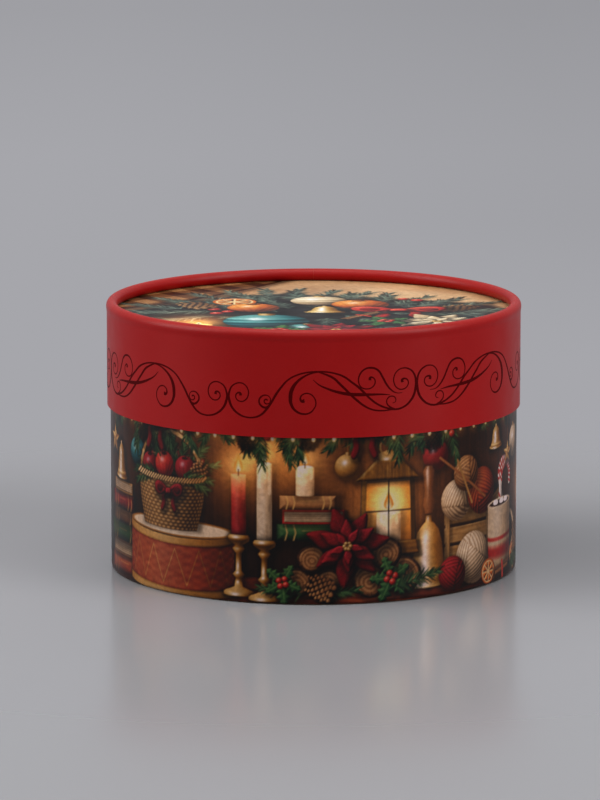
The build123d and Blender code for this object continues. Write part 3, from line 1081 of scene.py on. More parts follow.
def baked_house(sheet, x, y, wide, tall):
    """A little house of spiced biscuit with sugar on its roof."""
    sizes = (wide, tall)
    wall = placed([(-0.5, 0), (0.5, 0), (0.5, 0.5), (0, 0.92), (-0.5, 0.5)], sizes, x, y)
    crumbs = lambda a, b: 0.12 * mottle(a, b, 0.8, 3)
    sheet.form(wall, "kraft", 0.9, 1.0, crumbs, shadow=0.6)
    icing = tone(0.92, "white")
    door = [(-0.15, 0), (0.15, 0), (0.15, 0.22), (0, 0.3), (-0.15, 0.22)]
    door = placed(door, sizes, x, y)
    sheet.form(smooth_loop(door, 2), "umber", 0.5, 0.9, shadow=0.0)
    sheet.stroke([*door, door[0]], 0.45, icing)
    for side in (-1, 1):
        window = placed([(side * 0.3, 0.24), (side * 0.3, 0.38)], sizes, x, y)
        sheet.stroke(window, 0.19 * wide, icing)
        sheet.stroke(window, 0.15 * wide, colour("c9843a"))
        middle = window.mean(axis=0)
        for bar in ((0.09 * wide, 0), (0, 0.12 * tall)):
            sheet.stroke([middle - bar, middle + bar], 0.5, icing)
        roof = [(0, 0.96), (side * 0.61, 0.42), (side * 0.525, 0.36), (0, 0.8)]
        lit = 0.75 if side > 0 else 1.05
        sheet.form(placed(roof, sizes, x, y), "kraft", 0.8, lit, crumbs)
        for step in range(7):
            share = (step + 0.5) / 7
            drop = placed([(side * 0.575 * share, 0.93 - 0.53 * share)], sizes, x, y)[0]
            ball(sheet, *drop, 0.075 * wide, "white", 0.3, shadow=0.2)
    ball(sheet, x, y + 0.98 * tall, 0.06 * wide, "scarlet")


def stocking(sheet, x, y, tall):
    """A hanging stocking with a pale cuff; x and y are the middle of its top."""
    shape = [(-0.17, 0), (0.17, 0), (0.17, -0.35), (0.2, -0.58), (0.42, -0.72), (0.46, -0.88),
             (0.3, -0.98), (0.05, -0.92), (-0.14, -0.78), (-0.2, -0.6), (-0.17, -0.35)]
    knit = lambda a, b: 0.07 * np.cos(a * 5) * np.cos(b * 4) + 0.05 * mottle(a, b, 1, 2)
    leg = placed(smooth_loop(shape, 3), tall, x, y)
    sheet.form(leg, "scarlet", 0.12 * tall, 1.0, knit, 0.6)
    cuff = placed(smooth_loop(oblong(-0.22, 0.04, 0.22, -0.17), 3), tall, x, y)
    fleece = lambda a, b: 0.16 * mottle(a, b, 0.9, 9)
    sheet.form(cuff, "cream", 0.06 * tall, 1.0, fleece)


def string_of_lights(sheet, left, right, top, drop, count):
    """A hanging wire with small glowing lamps."""
    points = [(left + (right - left) * share, top - drop * (1 - (2 * share - 1) ** 2))
              for share in np.linspace(0, 1, count)]
    sheet.stroke(smooth_line(points, 2), 0.35, PAINTS["fir"][0])
    for x, y in points[1:-1]:
        sheet.glow(x, y - 0.6, 2.6, "ffb050", 0.35)
        sheet.oval(x, y - 0.7, 0.7, 0.95, colour("ffdf9a"))
        sheet.oval(x - 0.1, y - 0.6, 0.35, 0.5, colour("fffbe8"))


def hanging(sheet, x, y, high, motif, *sizes):
    """Hangs a motif by a thread."""
    sheet.stroke([(x, y), (x, y + high)], 0.3, PAINTS["gold"][1], 0.8)
    motif(sheet, x, y, *sizes)


def bauble(sheet, x, y, radius, paint, banded=False):
    """A glass ball in a cap, its middle at x and y less its radius."""

    def rings(across, up):
        return 0.18 * np.cos((up + 0.12 * (1 - across**2)) * 14) * (np.abs(up) < 0.5)

    ball(sheet, x, y - radius, radius, paint, 0.95, rings if banded else None)
    cap = [(0, 0.2 * radius), (0.28 * radius, 0.2 * radius)]
    sheet.turned(x, y - 0.12 * radius, cap, "brass", 0.8, shadow=0)


# The base's print: a festive still life on a wooden floor, against a boarded wall


def boarded_wall(sheet):
    x, y = np.meshgrid(sheet.x, sheet.y)
    board = np.floor((x + 3) / 17)
    edge = np.abs((x + 3) / 17 - board - 0.5)
    shade = 0.24 + 0.1 * mottle(x / 1.1, y / 14, 1, 3) + 0.07 * mottle(x * 3, y / 6, 1, 4)
    shade = shade + 0.05 * np.sin(board * 2.3) + 0.14 * mottle(x, y, 34, 5)
    shade = shade - 0.16 * np.exp(-(((0.5 - edge) * 17 / 0.5) ** 2))
    sheet.ink[:] = tone(shade, "wall_boards")


def wooden_floor(sheet, level):
    rows = slice(0, int(np.searchsorted(sheet.y, level)))
    x, y = np.meshgrid(sheet.x, sheet.y[rows])
    share = y / level
    shade = 0.5 + 0.2 * mottle(x / 9, y / 0.6, 1, 11) + 0.22 * mottle(x, y, 22, 12) - 0.3 * share
    shade = shade - 0.3 * np.exp(-(((y - 0.52 * level) / 0.3) ** 2))
    sheet.ink[rows] = tone(shade, "floor_boards")


def garland(sheet, left, right, level, seed):
    """A fir garland hung along a level, with cones, berries and small lamps."""
    pick_from = np.random.default_rng(seed)
    for x in np.arange(left, right, 4.2):
        y = level + 3 * math.sin(x / 9.5) + pick_from.uniform(-2, 2)
        angle = pick_from.uniform(195, 345)
        sprig(sheet, x, y, pick_from.uniform(9, 15), angle, 5.0, int(x * 7) % 997)
    for x in np.arange(left + 6, right, 23):
        y = level - 3 + 3 * math.sin(x / 9.5)
        pine_cone(sheet, x, y - 2, 6.5, 8.5, 180 + 25 * math.sin(x), "kraft")
        for berry in range(3):
            place = polar(1.7, 120 * berry + 9 * x) + (x + 9, y)
            ball(sheet, *place, 1.35, "scarlet")
    string_of_lights(sheet, left, right, level + 1, 7, int((right - left) / 7))


def set_out(sheet, at, rows):
    """Paints motifs in order, each given with its place across from at and its other values."""
    for motif, across, *values in rows:
        motif(sheet, at + across, *values)


def hearth_group(sheet, at):
    """Books, a drum and a basket of fir and apples, round a middle at a place across."""
    set_out(sheet, at, [
        (lying_book, -46, 2, 27, 6.5, "brick"),
        (lying_book, -45, 8.5, 24, 5.5, "tan", False),
        (lying_book, -47, 14, 26, 6.5, "leaf"),
        (lying_book, -44, 20.5, 22, 5, "kraft", True, "straw"),
        (lying_book, -45, 25.5, 21, 6, "crimson"),
        (lying_book, -43, 31.5, 18, 4.5, "straw", False),
        (bell, -35, 37.5, 11, 14),
        (drum, 0, 3, 51, 21.5),
        (apple, -9, 47, 4.6, "scarlet"),
        (apple, 1, 48.5, 5.0, "crimson"),
        (apple, 10, 47, 4.5, "scarlet"),
        *[(sprig, step * 1.2 - 3, 44, 15, angle, 5.0, step + 40)
          for step, angle in enumerate((165, 140, 112, 95, 72, 44, 18))],
        (basket, -3, 25.5, 34, 18),
        (apple, -13, 45.5, 4.4, "crimson"),
        (apple, -5, 46.5, 4.8, "scarlet"),
        (apple, 5, 46, 4.6, "crimson"),
        (pine_cone, 11, 45, 7, 9, -30, "tan"),
        (sprig, -11, 43.5, 11, 205, 4.2, 60),
        (sprig, -11, 43.5, 11, 185, 4.2, 61),
        (sprig, 5, 43.5, 11, 355, 4.2, 62),
        (sprig, 5, 43.5, 11, 335, 4.2, 63),
        (basket_rim, -3, 43.5, 34),
        (bow, -3, 37, 6.5, "crimson", 0.9),
    ])


def flame_group(sheet, at):
    """Candles on brass sticks, books on sawn logs, a lantern and a wide red flower."""
    set_out(sheet, at, [
        (lantern, 27, 17, 22, 41),
        (log_end, 20, 8.4, 6.4, 20),
        (log_end, 33, 9.8, 6.8, 33),
        (log_end, 26, 18, 6, 26),
        (log_end, -6, 8.1, 5.6, 0),
        (log_end, 5, 7.6, 5.4, 11),
        (log_end, -0.5, 16.6, 5.2, 5.5),
        (lying_book, -13, 23, 25, 6, "leaf"),
        (lying_book, -11, 29, 22, 5.2, "scarlet", False),
        (lying_book, -12, 34.2, 20, 5, "tan"),
        (candle, -3, 39.5, 6.5, 10, "cream", 6),
        (candle, -27, 24, 5.6, 22, "crimson", 6.5),
        (candlestick, -27, 3, 11.5, 22),
        (candle, -17.5, 22.5, 5.6, 28, "cream", 6.5),
        (candlestick, -17.5, 1.5, 11.5, 22),
        (poinsettia, 12, 21, 15.5, "crimson", 8),
        (holly, 28, 9, 9.5, 10, 1),
        (sprig, 31, 6, 17, 12, 5, 71),
        (sprig, -5, 4, 14, 172, 4.6, 72),
        (sprig, 2, 4, 14, 5, 4.6, 73),
        (holly, -11, 8, 8.5, 40, 2),
        (pine_cone, 2, 6.4, 8.5, 10, 65, "tan"),
    ])


def parlour_group(sheet, at):
    """A hand bell, balls of wool and a mug of cocoa, with sweets and spices."""
    set_out(sheet, at, [
        (crate, -12, 5, 34, 27, 0.25, "straw", 4, 21),
        (yarn, -6, 34, 7.5, "cream", -120),
        (yarn, 8, 35.5, 8.5, "brick", 160),
        (yarn, -1, 43, 6.5, "tan", -20),
    ])
    sheet.stroke([(at - 14, 50), (at + 10, 33)], 0.9, PAINTS["wood"][2])
    sheet.stroke([(at - 8, 53), (at + 2, 32)], 0.9, PAINTS["straw"][1])
    bell(sheet, at - 19, 6, 21, 26)
    grip = [(0, 1.6), (3, 2.4), (8, 1.7), (15, 2.5), (17, 1.4)]
    sheet.turned(at - 19, 31, grip, "wood", 0.6)
    set_out(sheet, at, [
        (yarn, 3, 12, 9.5, "cream", 30),
        (yarn, -8, 7.5, 6.5, "crimson", -40),
        (candy_cane, 27, 14, 30, 14),
        (candy_cane, 20, 16, 27, -6),
        (mug, 22, 5, 20, 24),
        (orange_slice, 12.5, 5.2, 4.6),
        (orange_slice, 37, 6.8, 5.2),
        (cinnamon, 24, 4.2, 17, 6),
        (pine_cone, 41, 14.5, 9.5, 12, 12, "tan"),
        (sprig, 33, 4, 17, 8, 5, 81),
    ])


def biscuit_group(sheet, at):
    """A baked house and a crate of apples, on the far side of the box."""
    set_out(sheet, at, [
        (crate, 3, 3, 42, 22, 0.3, "tan", 3, 31),
        (apple, 9, 27, 5.2, "crimson"),
        (apple, 19, 28, 5.6, "scarlet"),
        (apple, 30, 28.5, 5.4, "crimson"),
        (apple, 14, 33.5, 4.8, "scarlet"),
        (apple, 25, 34.5, 5.0, "crimson"),
        (lying_book, -42, 1.8, 40, 6, "brick"),
        (baked_house, -22, 7.8, 32, 40),
        (candle, -45, 6, 6, 22, "crimson", 6.5),
        (candlestick, -45, 1, 12, 8),
        (candy_cane, 1, 6, 28, -14),
        (holly, -3, 8, 9, 25, 3),
        (sprig, -38, 4, 15, 8, 4.6, 91),
        (cinnamon, 22, 4, 16, -5),
    ])


def base_picture():
    half = math.pi * BASE_RADIUS / MM
    sheet = Painting(-half, 0, half, BASE_RIM / MM + 0.5)
    boarded_wall(sheet)
    for x, y, reach in ((-95, 45, 22), (-58, 60, 20), (-20, 48, 20), (29, 42, 26), (88, 48, 24),
                        (140, 40, 26), (190, 46, 22), (-150, 44, 24), (-205, 44, 22)):
        sheet.glow(x, y, reach, "c8702c", 0.28)
    wooden_floor(sheet, 9.5)
    set_out(sheet, 0, [
        (hanging, 46, 57, 10, bauble, 5.6, "crimson"),
        (hanging, -75, 54, 10, bauble, 5.2, "teal"),
        (biscuit_group, 158),
        (stocking, -126, 58, 34),
        (biscuit_group, -156),
        (flame_group, 214),
        (flame_group, 214 - 2 * half),
        (hearth_group, -54),
        (parlour_group, 62),
        (flame_group, 0),
    ])
    garland(sheet, -half - 6, half + 6, 66, 5)
    set_out(sheet, 0, [
        (hanging, -97, 50, 10, star, 5.5),
        (hanging, 99, 55, 8, bauble, 6.0, "cream"),
        (hanging, 91, 46, 16, star, 4.4),
        (hanging, 80, 50, 10, bell, 10, 9),
        (hanging, 12, 54, 8, bauble, 4.6, "gold"),
        (bow, -64, 61, 8, "crimson"),
        (bow, 18, 62, 8, "crimson"),
        (bow, 128, 62, 8, "crimson"),
        (bow, -190, 62, 8, "crimson"),
    ])
    sheet.brushed(61)
    sheet.depth = np.array((0.62, 0.5, 0.52))
    sheet.contrast = 1.12
    return sheet


# The lid's picture: a spray of fir with baubles, flowers and candles on old parchment


def parchment(sheet):
    x, y = np.meshgrid(sheet.x, sheet.y)
    shade = 0.62 + 0.0022 * (x + 0.7 * y) + 0.10 * mottle(x, y, 26, 41)
    shade = shade + 0.06 * mottle(x, y, 7, 42) + 0.03 * mottle(x, y, 1.2, 43)
    shade = shade - 0.25 * np.clip((np.hypot(x, y) - 52) / 22, 0, 1) ** 2
    sheet.ink[:] = tone(shade, "parchment")
    # Dark folds, and a band of plaid cloth at the left
    for x, y, reach in ((-52, 30, 16), (-30, 52, 14), (30, 56, 12)):
        sheet.glow(x, y, reach, "5a2a12", 0.25)
    cloth = [(-80, 40), (-30, 76), (-8, 78), (-46, 22), (-80, 2)]

    def plaid(dots_x, dots_y):
        warp, weft = dots_x + dots_y * 0.8, dots_y - dots_x * 0.8
        bands = 0.16 * np.sign(np.sin(warp / 2.6)) + 0.16 * np.sign(np.sin(weft / 3.4))
        return bands - 0.12 + 0.08 * mottle(dots_x, dots_y, 4, 44)

    sheet.form(smooth_loop(cloth, 4), "kraft", 3.0, 0.9, plaid)


def lid_picture():
    reach = PICTURE_RADIUS / MM
    sheet = Painting(-reach, -reach, reach, reach)
    parchment(sheet)
    # The dark ground under the spray
    spray = [(-74, -10), (-58, 8), (-42, 25), (-24, 37), (-6, 39), (8, 34), (20, 31), (34, 26),
             (52, 22), (67, 8), (66, -14), (52, -36), (26, -60), (-8, -72), (-46, -58), (-70, -34)]
    place, dots_x, dots_y = sheet.around(spray, 8)
    depth = -outline_distance(dots_x, dots_y, smooth_loop(spray, 4))
    depth = depth + 2.5 * mottle(dots_x, dots_y, 5, 45)
    shade = 0.28 + 0.14 * mottle(dots_x, dots_y, 9, 46) + 0.06 * mottle(dots_x, dots_y, 2, 47)
    ground = tone(shade, "thicket")
    sheet.lay(place, np.clip(depth / 6 + 0.4, 0, 1), ground)
    tips = ((-62, -4, 175), (-56, 8, 150), (-46, 18, 138), (-36, 26, 122), (-27, 30, 106),
            (-17, 34, 95), (-7, 34, 84), (3, 32, 72), (13, 28, 62), (24, 24, 78), (34, 20, 58),
            (44, 18, 46), (54, 12, 30), (60, 0, 12), (58, -14, -12), (50, -32, -36),
            (30, -52, -58), (4, -60, -84), (-24, -58, -112), (-48, -42, -140), (-60, -24, -164))
    for step, (x, y, angle) in enumerate(tips):
        root = polar(-9, angle) + (x, y)
        sprig(sheet, *root, 25, angle, 8.5, step + 110, "spruce", 1.5)
    for step, (x, y, angle) in enumerate(tips[::2]):
        sprig(sheet, x * 0.62, y * 0.62, 24, angle + 14, 8, step + 150, "spruce", 1.4)
    for step, angle in enumerate(range(10, 370, 40)):
        across, up = polar(14, angle)
        sprig(sheet, across, up - 6, 20, angle - 20, 7.5, step + 180, "spruce", 1.3)
    sheet.glow(-43, -24, 13, "9c3010", 0.35)
    set_out(sheet, 0, [
        # Candles, low on the left
        (candle, -41, -60, 10, 28, "orange", 7),
        (candle, -51, -56, 8, 18, "crimson", 5.5),
        # Fruit, glass and berries
        (orange_slice, -29, 20, 8),
        (apple, -22, 6, 9.5, "orange"),
        (bauble, -17, -10, 15.5, "teal", True),
        (bauble, -2, -32, 9, "teal"),
        (bauble, 2, 33, 10.5, "cream", True),
        (apple, 17, 14, 10.5, "orange"),
        (bell, 4, -4, 15, 16),
        (ball, -36, 2, 2.6, "scarlet"),
        (ball, -31, -3, 2.4, "scarlet"),
        (ball, -35, -7, 2.6, "scarlet"),
        (ball, 33, 27, 2.2, "scarlet"),
        (ball, 38, 24, 2.5, "scarlet"),
        # Cones, ribbon, flowers and spices
        (pine_cone, -43, 12, 12, 16, 35, "tan"),
        (pine_cone, 52, 6, 12, 16, -50, "tan"),
        (bow, 31, 1, 16, "scarlet"),
        (poinsettia, 44, -25, 19, "cream", 12),
        (poinsettia, 8, -44, 17, "crimson", 30),
        (holly, 26, -24, 12, 15, 1),
        (holly, -12, -44, 12, 60, 2),
        (cinnamon, 18, -12, 24, 52),
    ])
    sheet.brushed(67)
    return sheet


# Finishes


def new_finish(name, **sockets):
    """A finish, with the values that are the same all over the surface."""
    finish = bpy.data.materials.new(name)
    finish.use_nodes = True
    shader = finish.node_tree.nodes["Principled BSDF"]
    for socket, value in sockets.items():
        shader.inputs[socket.replace("_", " ")].default_value = value
    return finish


def add(finish, kind, inputs=(), **settings):
    """Adds a node, sets it up and joins its inputs to values or to other nodes."""
    node = finish.node_tree.nodes.new("ShaderNode" + kind)
    for setting, value in settings.items():
        setattr(node, setting, value)
    for socket, value in dict(inputs).items():
        if isinstance(value, bpy.types.NodeSocket):
            finish.node_tree.links.new(value, node.inputs[socket])
        else:
            node.inputs[socket].default_value = value
    return node


def surface(finish, **inputs):
    """Joins nodes to the surface's inputs."""
    shader = finish.node_tree.nodes["Principled BSDF"]
    for socket, value in inputs.items():
        finish.node_tree.links.new(value, shader.inputs[socket.replace("_", " ")])
    return finish


def place_on(finish):
    return add(finish, "TexCoord").outputs["Object"]


def noise(finish, place, size, detail=2.0, roughness=0.5):
    """Noise from 0 to 1 in spots of about a size."""
    inputs = {"Vector": place, "Scale": 1 / size, "Detail": detail, "Roughness": roughness}
    return add(finish, "TexNoise", inputs).outputs["Fac"]


def arithmetic(finish, operation, first, second=0.0):
    inputs = {0: first, 1: second}
    return add(finish, "Math", inputs, operation=operation).outputs[0]


def times(finish, first, second):
    return arithmetic(finish, "MULTIPLY", first, second)


def spread(finish, value, low, high, new_low, new_high, **settings):
    """Spreads the part of a value between low and high over a new range."""
    inputs = {
        "Value": value,
        "From Min": low,
        "From Max": high,
        "To Min": new_low,
        "To Max": new_high,
    }
    return add(finish, "MapRange", inputs, **settings).outputs["Result"]


def eased(finish, *values):
    """Spreads a value like spread, and starts and ends softly."""
    return spread(finish, *values, interpolation_type="SMOOTHSTEP")


def tint(finish, share, first, second, blend="MIX"):
    """Mixes two colours, or lays the second over the first, by a share."""
    inputs = {0: share, 6: first, 7: second}
    return add(finish, "Mix", inputs, data_type="RGBA", blend_type=blend).outputs[2]


def relief(finish, height, depth, under=None):
    """Raises the surface by a height from 0 to 1, times a depth."""
    inputs = {"Height": height, "Distance": depth, "Strength": 1.0}
    if under is not None:
        inputs["Normal"] = under
    return add(finish, "Bump", inputs).outputs["Normal"]


def linear(code):
    """A six-digit colour as the linear light that a finish takes."""
    return (*as_light(colour(code)), 1.0)


BLACK = (0.0, 0.0, 0.0, 1.0)


def red_paper():
    """Deep red printed paper under a satin film, over the slight waves of the board."""
    finish = new_finish("red_paper", Specular_IOR_Level=0.15)
    place = place_on(finish)
    cloud = noise(finish, place, 30 * MM, 3)
    fibre = noise(finish, place, 0.5 * MM, 4, 0.6)
    red = tint(finish, cloud, linear("860607"), linear("920a0a"))
    red = tint(finish, spread(finish, fibre, 0.3, 0.7, 0.0, 0.25), red, linear("740405"))
    # Painted highlight: the film's red is mixed paler over the rim, where its sheen shows, and
    # paler again in patches there that are partly scuffed where it is touched and partly painted
    # sheen
    x, y, up = add(finish, "SeparateXYZ", {0: place}).outputs
    rim = spread(finish, up, LID_TOP - 2.0 * MM, LID_TOP, 0.0, 1.0)
    red = tint(finish, times(finish, rim, 0.12), red, linear("c06058"))
    scuffs_and_sheen = spread(finish, noise(finish, place, 2.5 * MM, 5, 0.65), 0.52, 0.72, 0.0, 0.5)
    red = tint(finish, times(finish, scuffs_and_sheen, rim), red, linear("a02a26"))
    smooth = noise(finish, place, 9 * MM, 4)
    gloss = spread(finish, smooth, 0.2, 0.8, 0.33, 0.45)
    # Pleats where the paper is gathered over the roll
    outwards = add(finish, "CombineXYZ", {0: x, 1: y}).outputs[0]
    outwards = add(finish, "VectorMath", {0: outwards}, operation="NORMALIZE").outputs[0]
    pleats = noise(finish, outwards, 2.2 * MM / SKIRT_RADIUS, 3)
    pleats = times(finish, pleats, rim)
    normal = relief(finish, noise(finish, place, 22 * MM, 1), 0.35 * MM)
    normal = relief(finish, pleats, 0.12 * MM, normal)
    normal = relief(finish, fibre, 0.008 * MM, normal)
    return surface(finish, Base_Color=red, Roughness=gloss, Normal=normal)


def dark_ink():
    """Printed ink, whose colour, gloss and height vary with how thick it lies."""
    finish = new_finish("dark_scroll_ink", Specular_IOR_Level=0.02)
    place = place_on(finish)
    thickness = noise(finish, place, 0.6 * MM, 3)
    ink = tint(finish, thickness, linear("350203"), linear("4a0506"))
    gloss = spread(finish, thickness, 0.3, 0.7, 0.34, 0.48)
    normal = relief(finish, thickness, 0.01 * MM)
    return surface(finish, Base_Color=ink, Roughness=gloss, Normal=normal)


def printed_paper(name, shine):
    """Art paper printed in full colour, under a satin film."""
    finish = new_finish(name, Specular_IOR_Level=shine)
    place = place_on(finish)
    fibre = noise(finish, place, 0.45 * MM, 3, 0.6)
    colours = add(finish, "Attribute", attribute_name="print").outputs["Color"]
    paper = tint(finish, fibre, linear("d8d4cf"), linear("ffffff"))
    colours = tint(finish, 1.0, colours, paper, "MULTIPLY")
    gloss = spread(finish, noise(finish, place, 8 * MM, 4), 0.2, 0.8, 0.3, 0.42)
    normal = relief(finish, noise(finish, place, 24 * MM, 1), 0.3 * MM)
    normal = relief(finish, fibre, 0.006 * MM, normal)
    return surface(finish, Base_Color=colours, Roughness=gloss, Normal=normal)


def board_fibres(finish, place, dark, pale):
    """The fibres and specks of pressed board, and their fine relief."""
    fibre = noise(finish, place, 0.9 * MM, 6, 0.65)
    board = tint(finish, spread(finish, fibre, 0.3, 0.7, 0.0, 1.0), dark, pale)
    specks = add(finish, "TexVoronoi", {"Vector": place, "Scale": 1 / (1.6 * MM)})
    speck = spread(finish, specks.outputs["Distance"], 0.05, 0.16, 0.55, 0.0)
    board = tint(finish, speck, board, linear("4a3a2c"))
    return board, fibre


PLY = 0.3 * MM
WAVES_IN_SCALE = 20  # the wave texture repeats this often in each unit of its scale


def rolled_board():
    """Brown board rolled in plies, whose edges show on the cut end."""
    finish = new_finish("rolled_board", Specular_IOR_Level=0.25)
    place = place_on(finish)
    board, fibre = board_fibres(finish, place, linear("8b7356"), linear("b59a78"))
    scale = 1 / (WAVES_IN_SCALE * PLY)
    rings = {"Vector": place, "Scale": scale, "Distortion": 0.6, "Detail": 2.0}
    plies = add(finish, "TexWave", rings, wave_type="RINGS", rings_direction="Z").outputs["Fac"]
    facing = add(finish, "SeparateXYZ", {0: add(finish, "TexCoord").outputs["Normal"]})
    cut = spread(finish, facing.outputs["Z"], 0.7, 0.9, 0.0, 0.6)
    board = tint(finish, times(finish, plies, cut), board, linear("6f5a44"))
    rough = spread(finish, fibre, 0.2, 0.8, 0.75, 0.95)
    normal = relief(finish, fibre, 0.04 * MM)
    return surface(finish, Base_Color=board, Roughness=rough, Normal=normal)


def grey_board():
    """Pressed grey board."""
    finish = new_finish("grey_board", Specular_IOR_Level=0.25)
    place = place_on(finish)
    board, fibre = board_fibres(finish, place, linear("86817a"), linear("a8a29a"))
    rough = spread(finish, fibre, 0.2, 0.8, 0.8, 0.97)
    normal = relief(finish, fibre, 0.05 * MM)
    return surface(finish, Base_Color=board, Roughness=rough, Normal=normal)


def liner_paper():
    """Plain uncoated off-white paper."""
    finish = new_finish("liner_paper", Specular_IOR_Level=0.3)
    place = place_on(finish)
    fibre = noise(finish, place, 0.7 * MM, 6, 0.65)
    cloud = noise(finish, place, 12 * MM, 3)
    paper = tint(finish, cloud, linear("dcd7cc"), linear("e8e4da"))
    paper = tint(finish, spread(finish, fibre, 0.35, 0.7, 0.0, 0.35), paper, linear("cfc8ba"))
    rough = spread(finish, fibre, 0.2, 0.8, 0.78, 0.92)
    normal = relief(finish, cloud, 0.15 * MM)
    normal = relief(finish, fibre, 0.02 * MM, normal)
    return surface(finish, Base_Color=paper, Roughness=rough, Normal=normal)


# Pieces


def rolled_paper(name, section, body, material, replaced):
    """A sheet rolled into a tube, with its thickness inwards and a seam at the back."""
    piece = spun(name, section, gap=SEAM_GAP)
    apply_modifier(piece, "SOLIDIFY", thickness=PAPER, offset=-1, use_even_offset=True)
    return finish_piece(piece, body, material, replaced)


# Lid: the red paper over the skirt and the rolled rim, and the board under it


def lid_wall_section(depth):
    """The wall and its roll, at a depth below the paper's face, from the cut edge up."""
    wall = SKIRT_RADIUS - depth
    centre = SKIRT_RADIUS + ROLL_SWELL - ROLL_HALF_WIDTH
    level = LID_TOP - ROLL_HALF_HEIGHT
    skirt = [(wall, LID_EDGE + (PICTURE_LEVEL - LID_EDGE) * share) for share in (0, 0.01, 0.5)]
    swell = [
        (
            wall + ROLL_SWELL * (1 - math.cos(math.pi * share)) / 2,
            PICTURE_LEVEL + (level - PICTURE_LEVEL) * share,
        )
        for share in (0, 0.2, 0.4, 0.6, 0.8)
    ]
    roll = [
        (
            centre + (ROLL_HALF_WIDTH - depth) * math.cos(math.radians(turn)),
            level + (ROLL_HALF_HEIGHT - depth) * math.sin(math.radians(turn)),
        )
        for turn in range(0, ROLL_TURN + 1, ROLL_STEP)
    ]
    return skirt + swell + roll


def make_lid_wrap():
    return rolled_paper(
        "lid_wrap_red", lid_wall_section(0), "lid", red_paper(), ["lid_wrap"]
    )


def make_lid_board():
    section = [
        *lid_wall_section(PAPER),
        (PICTURE_RADIUS, PICTURE_LEVEL),
        (PICTURE_RADIUS, LID_EDGE),
    ]
    piece = spun("lid_board", section, closed=True)
    return finish_piece(piece, "lid", rolled_board(), ["lid_board_tube"])


# Lid: the scroll ornament printed in dark ink round the skirt


def pen_strokes(name, strokes):
    """Flat pen strokes through (across, height, width) points, in millimetres, facing -Y."""
    deselect()
    bpy.ops.curve.primitive_bezier_curve_add(location=(0, 0, 0))
    line = bpy.context.object.data
    line.splines.clear()
    for points in strokes:
        spline = line.splines.new("BEZIER")
        spline.bezier_points.add(len(points) - 1)
        for knot, (across, height, width) in zip(spline.bezier_points, points):
            knot.co = (across * MM, 0, height * MM)
            knot.handle_left_type = knot.handle_right_type = "AUTO"
            knot.radius = (width * STROKE_SPREAD - STROKE_TRIM) / 2
    line.dimensions = "3D"
    line.resolution_u = STROKE_STEPS
    line.bevel_depth = MM
    line.bevel_resolution = 1
    line.use_fill_caps = True
    pick(bpy.context.object)
    bpy.ops.object.convert(target="MESH")
    return name_piece(name)


def scroll_strokes():
    """The strokes of the whole ornament, each with its place on the unrolled skirt."""
    for join in LOW_JOINS:
        for side in (1, -1):
            for points in SCROLL_HALF:
                stroke = []
                for across, height, width in points:
                    place = join + side * across
                    rise = PRINT_RISE * math.sin(place * MM / SKIRT_RADIUS)
                    stroke.append((place, height + rise, width))
                yield stroke


def make_scroll_print():
    piece = pen_strokes("lid_scroll_print", scroll_strokes())
    edit_mode()
    # The print is cut off where the paper ends, at the back
    paper_end = math.pi * SKIRT_RADIUS - SEAM_GAP
    for side in (1, -1):
        select_all_parts()
        bpy.ops.mesh.bisect(
            plane_co=(side * paper_end, 0, 0),
            plane_no=(side, 0, 0),
            use_fill=True,
            clear_outer=True,
        )
    # The strokes are pressed flat, so that they stand just proud of the paper
    select_all_parts()
    bpy.ops.transform.resize(value=(1, INK_FLATNESS, 1), center_override=(0, 0, 0))
    object_mode()
    roll_up(piece, SKIRT_RADIUS)
    return finish_piece(piece, "lid", dark_ink())


# Lid: the picture sunk inside the rim


def make_lid_picture():
    deselect()
    bpy.ops.mesh.primitive_circle_add(
        vertices=4 * PICTURE_CELLS, radius=PICTURE_SHOWN, location=(0, 0, PICTURE_LEVEL)
    )
    piece = name_piece("lid_picture")
    edit_mode()
    select_all_parts()
    bpy.ops.mesh.fill_grid(span=PICTURE_CELLS)
    # The hidden border under the rim, and the paper's thickness
    bpy.ops.mesh.select_mode(type="EDGE")
    select_all_parts("DESELECT")
    bpy.ops.mesh.select_non_manifold(extend=False)
    bpy.ops.mesh.extrude_edges_move()
    outwards = PICTURE_RADIUS / PICTURE_SHOWN
    bpy.ops.transform.resize(value=(outwards, outwards, 1), center_override=(0, 0, PICTURE_LEVEL))
    extrude_edges(0, 0, -PAPER)
    object_mode()
    face_outwards(piece)
    print_on(piece, lid_picture(), up=1)
    flat_map(piece, up=1)
    paper = printed_paper("picture_paper", 0.12)
    return finish_piece(piece, "lid", paper, ["lid_top_print"])


# Base: the printed paper, in three panels that meet edge to edge


